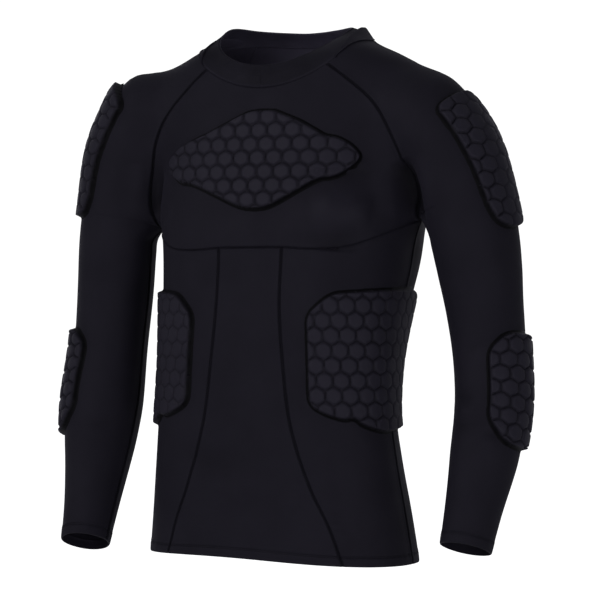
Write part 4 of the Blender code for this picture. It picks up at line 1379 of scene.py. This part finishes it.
def knit_group():
    """Wales and courses of a fine knit on the cut's flat places, with an uneven tone, a painted highlight
    and a painted shade.

    Relief is the product of a wave across the wales and a leaning wave along them. The mix toward the worn
    and highlight colour takes a broad cloud, the wave and a painted highlight; a painted shade dims the
    colour, and roughness falls a little on the raised loops.
    """
    group = bpy.data.node_groups.new("Fine knit", "ShaderNodeTree")
    sockets = (
        ("Cloth colour", "NodeSocketColor", (0.02, 0.02, 0.025, 1)),
        ("Worn and highlight colour", "NodeSocketColor", (0.04, 0.04, 0.05, 1)),
        ("Wale width", "NodeSocketFloat", 0.0009),
        ("Relief", "NodeSocketFloat", 0.5),
        ("Smoothest", "NodeSocketFloat", 0.6),
        ("Roughest", "NodeSocketFloat", 0.9),
    )
    for name, kind, value in sockets:
        socket = group.interface.new_socket(name=name, in_out="INPUT", socket_type=kind)
        socket.default_value = value
    outputs = {"Color": "NodeSocketColor", "Roughness": "NodeSocketFloat", "Normal": "NodeSocketVector"}
    for name, kind in outputs.items():
        group.interface.new_socket(name=name, in_out="OUTPUT", socket_type=kind)
    given = add_node(group, "NodeGroupInput").outputs
    made = add_node(group, "NodeGroupOutput").inputs
    link = group.links.new

    def calc(operation, *values):
        return math_node(group, operation, *values)

    def noise(**values):
        node = add_node(group, "ShaderNodeTexNoise")
        set_inputs(node, values)
        link(place.outputs["Object"], node.inputs["Vector"])
        return node.outputs["Fac"]

    flat = add_node(group, "ShaderNodeUVMap", uv_map="cut")
    parts = add_node(group, "ShaderNodeSeparateXYZ")
    link(flat.outputs["UV"], parts.inputs[0])
    turns = calc("DIVIDE", 2 * np.pi, given["Wale width"])
    across = calc("MULTIPLY", parts.outputs["X"], turns)
    along = calc("MULTIPLY", parts.outputs["Y"], turns)
    wale = calc("ABSOLUTE", calc("SINE", calc("MULTIPLY", across, 0.5)))
    course = calc("SINE", calc("ADD", along, calc("MULTIPLY", wale, 2.2)))
    loops = calc("MULTIPLY", wale, calc("MULTIPLY_ADD", course, 0.35, 0.65))
    place = add_node(group, "ShaderNodeTexCoord")
    cloud = noise(Scale=14.0, Detail=4.0, Roughness=0.62)
    fuzz = noise(Scale=420.0, Detail=2.0)
    spread = add_node(group, "ShaderNodeMapRange")
    set_inputs(spread, {"From Min": 0.32, "From Max": 0.70})
    link(cloud, spread.inputs["Value"])
    shade = calc("MULTIPLY_ADD", spread.outputs["Result"], 0.45, calc("MULTIPLY", loops, 0.35))
    shade = calc("MULTIPLY_ADD", fuzz, 0.20, shade)
    # Painted highlight: lightens the crease ridges, the discs' tops and the collar's rim toward the worn
    # and highlight colour
    painted_highlight = add_node(group, "ShaderNodeAttribute", attribute_name="painted_highlight")
    shade = calc("MULTIPLY_ADD", painted_highlight.outputs["Fac"], 0.55, shade)
    # Painted shade: dims the crease troughs, the grooves between cells and the pads' rims
    painted_shade = add_node(group, "ShaderNodeAttribute", attribute_name="painted_shade")
    dim = calc("MULTIPLY_ADD", painted_shade.outputs["Fac"], -0.70, 1.0)
    colour = add_node(group, "ShaderNodeMix", data_type="RGBA")
    link(shade, colour.inputs["Factor"])
    link(given["Cloth colour"], colour.inputs["A"])
    link(given["Worn and highlight colour"], colour.inputs["B"])
    dimmed = add_node(group, "ShaderNodeVectorMath", operation="SCALE")
    link(colour.outputs["Result"], dimmed.inputs[0])
    link(dim, dimmed.inputs["Scale"])
    link(dimmed.outputs[0], made["Color"])
    rough = add_node(group, "ShaderNodeMapRange")
    link(shade, rough.inputs["Value"])
    link(given["Roughest"], rough.inputs["To Min"])
    link(given["Smoothest"], rough.inputs["To Max"])
    link(rough.outputs["Result"], made["Roughness"])
    bump = add_node(group, "ShaderNodeBump")
    set_inputs(bump, {"Distance": 0.00022})
    link(given["Relief"], bump.inputs["Strength"])
    link(calc("MULTIPLY_ADD", fuzz, 0.35, loops), bump.inputs["Height"])
    link(bump.outputs["Normal"], made["Normal"])
    return group


def knit_material(name, colour, worn_and_highlight, wale, relief, rough, sheen):
    """A Principled cloth with the fine knit's colour, roughness and relief, and a fabric sheen."""
    material = bpy.data.materials.new(name)
    material.use_nodes = True
    tree = material.node_tree
    surface = tree.nodes["Principled BSDF"]
    group = bpy.data.node_groups.get("Fine knit") or knit_group()
    knit = add_node(tree, "ShaderNodeGroup", node_tree=group)
    given = {
        "Cloth colour": (*colour, 1),
        "Worn and highlight colour": (*worn_and_highlight, 1),
        "Wale width": wale,
        "Relief": relief,
        "Smoothest": rough[0],
        "Roughest": rough[1],
    }
    set_inputs(knit, given)
    for made, read in (("Color", "Base Color"), ("Roughness", "Roughness"), ("Normal", "Normal")):
        tree.links.new(knit.outputs[made], surface.inputs[read])
    gloss = {
        "Sheen Weight": sheen,
        "Sheen Roughness": 0.45,
        "Sheen Tint": (0.80, 0.78, 0.95, 1),
        "Specular IOR Level": 0.10,
    }
    set_inputs(surface, gloss)
    return material


def finish_of(name):
    """The shirt's finishes by name, each made once: colour, worn and highlight share, wale, relief,
    roughness, sheen.
    """
    colours = bpy.context.scene.shirt_colours
    title, colour, share, *rest = {
        "cloth": ("Black stretch knit", colours.cloth, 1, 0.0010, 0.45, (0.50, 0.72), 0.035),
        "pad": ("Black knit over foam", colours.pad, 1, 0.0012, 0.55, (0.44, 0.64), 0.045),
        # The collar's larger share of the worn and highlight colour brightens its painted rim highlight;
        # its own colour is darker to match
        "collar": ("Black rib binding", colours.collar, 2.1, 0.0019, 0.70, (0.48, 0.70), 0.045),
        "thread": ("Black sewing thread", colours.thread, 1, 0.0004, 0.30, (0.40, 0.55), 0.02),
        "flat thread": ("Flat sewing thread", colours.cloth, 1, 0.0004, 0.30, (0.50, 0.72), 0.03),
    }[name]
    worn_and_highlight = tuple(share * colours.worn_and_highlight * v for v in colour)
    return bpy.data.materials.get(title) or knit_material(title, tuple(colour), worn_and_highlight, *rest)


# Add-on

def length(name, description, default):
    """A length among the add-on's values."""
    return bpy.props.FloatProperty(
        name=name, description=description, default=default, unit="LENGTH"
    )


def tint(name, description, default):
    """A colour among the add-on's values."""
    return bpy.props.FloatVectorProperty(
        name=name, description=description, default=default, subtype="COLOR"
    )


class ShirtSizes(bpy.types.PropertyGroup):
    cloth: length("Cloth", "Thickness of the knit", 0.0011)
    collar_cloth: length("Collar cloth", "Thickness of the folded band", 0.0026)
    seam_groove: length("Seam groove", "Depth of the cloth at a seam", 0.0009)
    seam_ridge: length("Seam ridge", "Height beside a seam", 0.0004)
    hem_depth: length("Hem depth", "Depth of the turned hems", 0.0145)
    hem_rise: length("Hem rise", "Extra thickness of the turned hems", 0.0007)
    crease_share: bpy.props.FloatProperty(
        name="Creases", description="Share of the creases' depth", default=1.0, min=0.0, max=2.0
    )
    torso_pad: length("Torso pads", "Height of the chest and rib pads", 0.0080)
    sleeve_pad: length("Sleeve pads", "Height of the shoulder and elbow pads", 0.0090)
    disc_rise: length("Disc rise", "Height of a cell's disc above its flat", 0.0011)
    pod_groove: length("Cell groove", "Groove between cells above the cloth", 0.0042)
    pod_shoulder: length("Cell shoulder", "Width of a cell's rounding", 0.0020)
    stitch_pitch: length("Stitch length", "Pitch of the stitches", 0.0027)
    thread: length("Thread", "Thickness of the sewing thread", 0.0005)


class ShirtColours(bpy.types.PropertyGroup):
    cloth: tint("Cloth", "Colour of the knit", (0.0110, 0.0102, 0.0150))
    pad: tint("Pads", "Colour of the pads' knit", (0.0150, 0.0140, 0.0200))
    collar: tint("Collar", "Colour of the collar band", (0.0056, 0.0052, 0.0077))
    thread: tint("Thread", "Colour of the thread", (0.0040, 0.0039, 0.0056))
    # Scales the worn and highlight colour: the raised loops and the painted highlights
    worn_and_highlight: bpy.props.FloatProperty(
        name="Worn", description="How much lighter the raised loops are", default=1.5, min=1.0, max=4.0
    )
    paper: tint("Backdrop", "Colour of the backdrop", (0.93, 0.93, 0.93))


class SHIRT_OT_cloth(bpy.types.Operator):
    """Adds the seven cut pieces as thin shells"""

    bl_idname = "shirt.cloth"
    bl_label = "Cut pieces"

    def execute(self, context):
        sizes = context.scene.shirt_sizes
        for name, (width, tall, flat_area, *edges) in CUTS.items():
            LAID[name] = piece_surface(name, sizes)
            shell = add_shell(f"{name}_cloth", LAID[name], finish_of("cloth"), [name])
        return {"FINISHED"}


class SHIRT_OT_collar(bpy.types.Operator):
    """Adds the folded collar band"""

    bl_idname = "shirt.collar"
    bl_label = "Collar band"

    def execute(self, context):
        points, cut, fold = collar_surface(context.scene.shirt_sizes)
        quads = ring_quads(*points.shape[:2])
        band = add_piece(
            "collar_cloth",
            points.reshape(-1, 3),
            quads,
            cut.reshape(-1, 2),
            finish_of("collar"),
            ["collar_band"],
        )
        add_mask(band, "painted_highlight", fold.ravel())
        return {"FINISHED"}


class SHIRT_OT_torso_pads(bpy.types.Operator):
    """Adds the chest pad and both rib pads"""

    bl_idname = "shirt.torso_pads"
    bl_label = "Chest and rib pads"

    def execute(self, context):
        sizes = context.scene.shirt_sizes
        add_pad("chest_pad", CHEST_OUTLINE, torso_place, sizes.torso_pad, sizes, finish_of("pad"))
        for side, sign in SIDES.items():
            add_pad(
                f"rib_pad_{side}",
                RIB_OUTLINE,
                lambda flat, s=sign: torso_place(flat, s),
                sizes.torso_pad,
                sizes,
                finish_of("pad"),
            )
        return {"FINISHED"}


class SHIRT_OT_sleeve_pads(bpy.types.Operator):
    """Adds the shoulder and elbow pads"""

    bl_idname = "shirt.sleeve_pads"
    bl_label = "Shoulder and elbow pads"

    def execute(self, context):
        sizes = context.scene.shirt_sizes
        for side in SIDES:
            for piece, outline in (("shoulder", SHOULDER_OUTLINE), ("elbow", ELBOW_OUTLINE)):
                add_pad(
                    f"{piece}_pad_{side}",
                    outline,
                    lambda flat, p=piece, s=side: sleeve_place(flat, p, s),
                    sizes.sleeve_pad,
                    sizes,
                    finish_of("pad"),
                )
        return {"FINISHED"}


class SHIRT_OT_stitching(bpy.types.Operator):
    """Adds the flat seams' threads and the hems' twin stitch lines"""

    bl_idname = "shirt.stitching"
    bl_label = "Stitching"

    def execute(self, context):
        if len(LAID) < len(CUTS):
            raise RuntimeError("the cut pieces come first")
        sizes = context.scene.shirt_sizes
        front, back, left, right, bust = [], [], [], [], []
        for side, some in (("left", left), ("right", right)):
            sleeve, panel = f"sleeve_{side}", f"front_side_{side}"
            edge, back_edge = ("last", "first") if side == "left" else ("first", "last")
            pit = armpit(side)[2]
            above, below = {"low": pit + 0.001}, {"high": pit - 0.002}
            front += flat_seam(
                seam_line(panel, "first"), seam_line("front_centre_panel", edge), sizes
            )
            back += flat_seam(
                seam_line(panel, "last"), seam_line("back_panel", back_edge, high=pit), sizes
            )
            some += flat_seam(
                seam_line(sleeve, "first", **above), flipped(seam_line("chest_panel", edge)), sizes
            )
            some += flat_seam(
                seam_line(sleeve, "last", **above),
                flipped(seam_line("back_panel", back_edge, **above)),
                sizes,
            )
            some += flat_seam(
                seam_line(sleeve, "first", **below), seam_line(sleeve, "last", **below), sizes
            )
            bust += flat_seam(seam_line(panel, "top"), bust_part(side), sizes)
            some += hem_stitches(sleeve, "top", sizes)
            front += hem_stitches(panel, "bottom", sizes)
        bust += flat_seam(seam_line("front_centre_panel", "top"), bust_part("centre"), sizes)
        front += hem_stitches("front_centre_panel", "bottom", sizes)
        back += hem_stitches("back_panel", "bottom", sizes)
        thread = finish_of("thread")
        for name, sets in (("front", front), ("back", back), ("left", left), ("right", right)):
            add_threads(f"stitches_{name}", sets, thread)
        add_threads("stitches_bust", bust, finish_of("flat thread"))
        return {"FINISHED"}


def add_floor(scene):
    """A wide pale floor that the camera sees as white."""
    mesh = bpy.data.meshes.new("floor")
    corners = [(x, y, FLOOR_LEVEL) for x, y in ((-1, -1), (1, -1), (1, 1), (-1, 1))]
    corners = [(x * FLOOR_REACH, y * FLOOR_REACH, z) for x, y, z in corners]
    mesh.from_pydata(corners, [], [(0, 1, 2, 3)])
    floor = bpy.data.objects.new("floor", mesh)
    scene.collection.objects.link(floor)
    paper = bpy.data.materials.new("Pale paper")
    paper.use_nodes = True
    tree = paper.node_tree
    surface = tree.nodes["Principled BSDF"]
    grain = add_node(tree, "ShaderNodeTexNoise")
    set_inputs(grain, {"Scale": 60.0})
    mix = add_node(tree, "ShaderNodeMix", data_type="RGBA")
    colour = scene.shirt_colours.paper
    set_inputs(mix, {"A": (*colour, 1), "B": (*(0.96 * v for v in colour), 1)})
    tree.links.new(grain.outputs["Fac"], mix.inputs["Factor"])
    tree.links.new(mix.outputs["Result"], surface.inputs["Base Color"])
    set_inputs(surface, {"Roughness": 0.9, "Emission Color": (1, 1, 1, 1)})
    seen = add_node(tree, "ShaderNodeLightPath")
    tree.links.new(seen.outputs["Is Camera Ray"], surface.inputs["Emission Strength"])
    mesh.materials.append(paper)


def add_lamps(scene):
    """The stage's soft lamps, as rectangles that the camera doesn't see."""
    for name, (place, turn, width, height, power) in LAMPS.items():
        light = bpy.data.lights.new(name, "AREA")
        light.shape = "RECTANGLE"
        light.size, light.size_y, light.energy = width, height, power
        light.color = LAMP_COLOUR
        lamp = bpy.data.objects.new(name, light)
        lamp.location = place
        lamp.rotation_euler = np.radians(turn)
        lamp.visible_camera = False
        scene.collection.objects.link(lamp)


def add_world(scene):
    """A dim room that lights the shirt, and white where the camera looks past it."""
    scene.world = bpy.data.worlds.new("Studio")
    scene.world.use_nodes = True
    tree = scene.world.node_tree
    seen = add_node(tree, "ShaderNodeBackground")
    set_inputs(seen, {"Color": (1, 1, 1, 1), "Strength": SEEN_LIGHT})
    lit = tree.nodes["Background"]
    set_inputs(lit, {"Color": ROOM_COLOUR, "Strength": ROOM_LIGHT})
    ray = add_node(tree, "ShaderNodeLightPath")
    mix = add_node(tree, "ShaderNodeMixShader")
    parts = (ray.outputs["Is Camera Ray"], lit.outputs[0], seen.outputs[0])
    for part, read in zip(parts, mix.inputs):
        tree.links.new(part, read)
    tree.links.new(mix.outputs[0], tree.nodes["World Output"].inputs["Surface"])


def add_camera(scene):
    """A long lens that looks level at the shirt, from the front at the wearer's left."""
    view = bpy.data.cameras.new("camera")
    view.lens = CAMERA_LENS
    view.sensor_width = 36.0
    scene.camera = bpy.data.objects.new("camera", view)
    sine, cosine = np.sin(CAMERA_TURN), np.cos(CAMERA_TURN)
    scene.camera.location = (
        CAMERA_AWAY * sine + CAMERA_ASIDE * cosine,
        -CAMERA_AWAY * cosine + CAMERA_ASIDE * sine,
        CAMERA_HEIGHT,
    )
    scene.camera.rotation_euler = (np.pi / 2, 0, CAMERA_TURN)
    scene.collection.objects.link(scene.camera)


class SHIRT_OT_stage(bpy.types.Operator):
    """Adds the pale floor, the soft lights and the camera"""

    bl_idname = "shirt.stage"
    bl_label = "Stage"

    def execute(self, context):
        for add in (add_floor, add_lamps, add_world, add_camera):
            add(context.scene)
        context.scene.view_settings.view_transform = "Standard"
        return {"FINISHED"}


class SHIRT_PT_panel(bpy.types.Panel):
    """Lists the shirt's sizes, colours and steps"""

    bl_label = "Compression shirt"
    bl_idname = "SHIRT_PT_panel"
    bl_space_type = "VIEW_3D"
    bl_region_type = "UI"
    bl_category = "Shirt"

    def draw(self, context):
        for group in (context.scene.shirt_sizes, context.scene.shirt_colours):
            column = self.layout.column()
            for name in group.bl_rna.properties.keys():
                if name not in ("rna_type", "name"):
                    column.prop(group, name)
        for step in STEPS:
            self.layout.operator(step.bl_idname)


STEPS = (
    SHIRT_OT_cloth,
    SHIRT_OT_collar,
    SHIRT_OT_torso_pads,
    SHIRT_OT_sleeve_pads,
    SHIRT_OT_stitching,
    SHIRT_OT_stage,
)
CLASSES = (ShirtSizes, ShirtColours, *STEPS, SHIRT_PT_panel)


def register():
    for item in CLASSES:
        bpy.utils.register_class(item)
    bpy.types.Scene.shirt_sizes = bpy.props.PointerProperty(type=ShirtSizes)
    bpy.types.Scene.shirt_colours = bpy.props.PointerProperty(type=ShirtColours)


def unregister():
    del bpy.types.Scene.shirt_sizes
    del bpy.types.Scene.shirt_colours
    for item in reversed(CLASSES):
        bpy.utils.unregister_class(item)


def main():
    register()
    bpy.ops.shirt.cloth()
    bpy.ops.shirt.collar()
    bpy.ops.shirt.torso_pads()
    bpy.ops.shirt.sleeve_pads()
    bpy.ops.shirt.stitching()
    bpy.ops.shirt.stage()


if __name__ == "__main__":
    main()
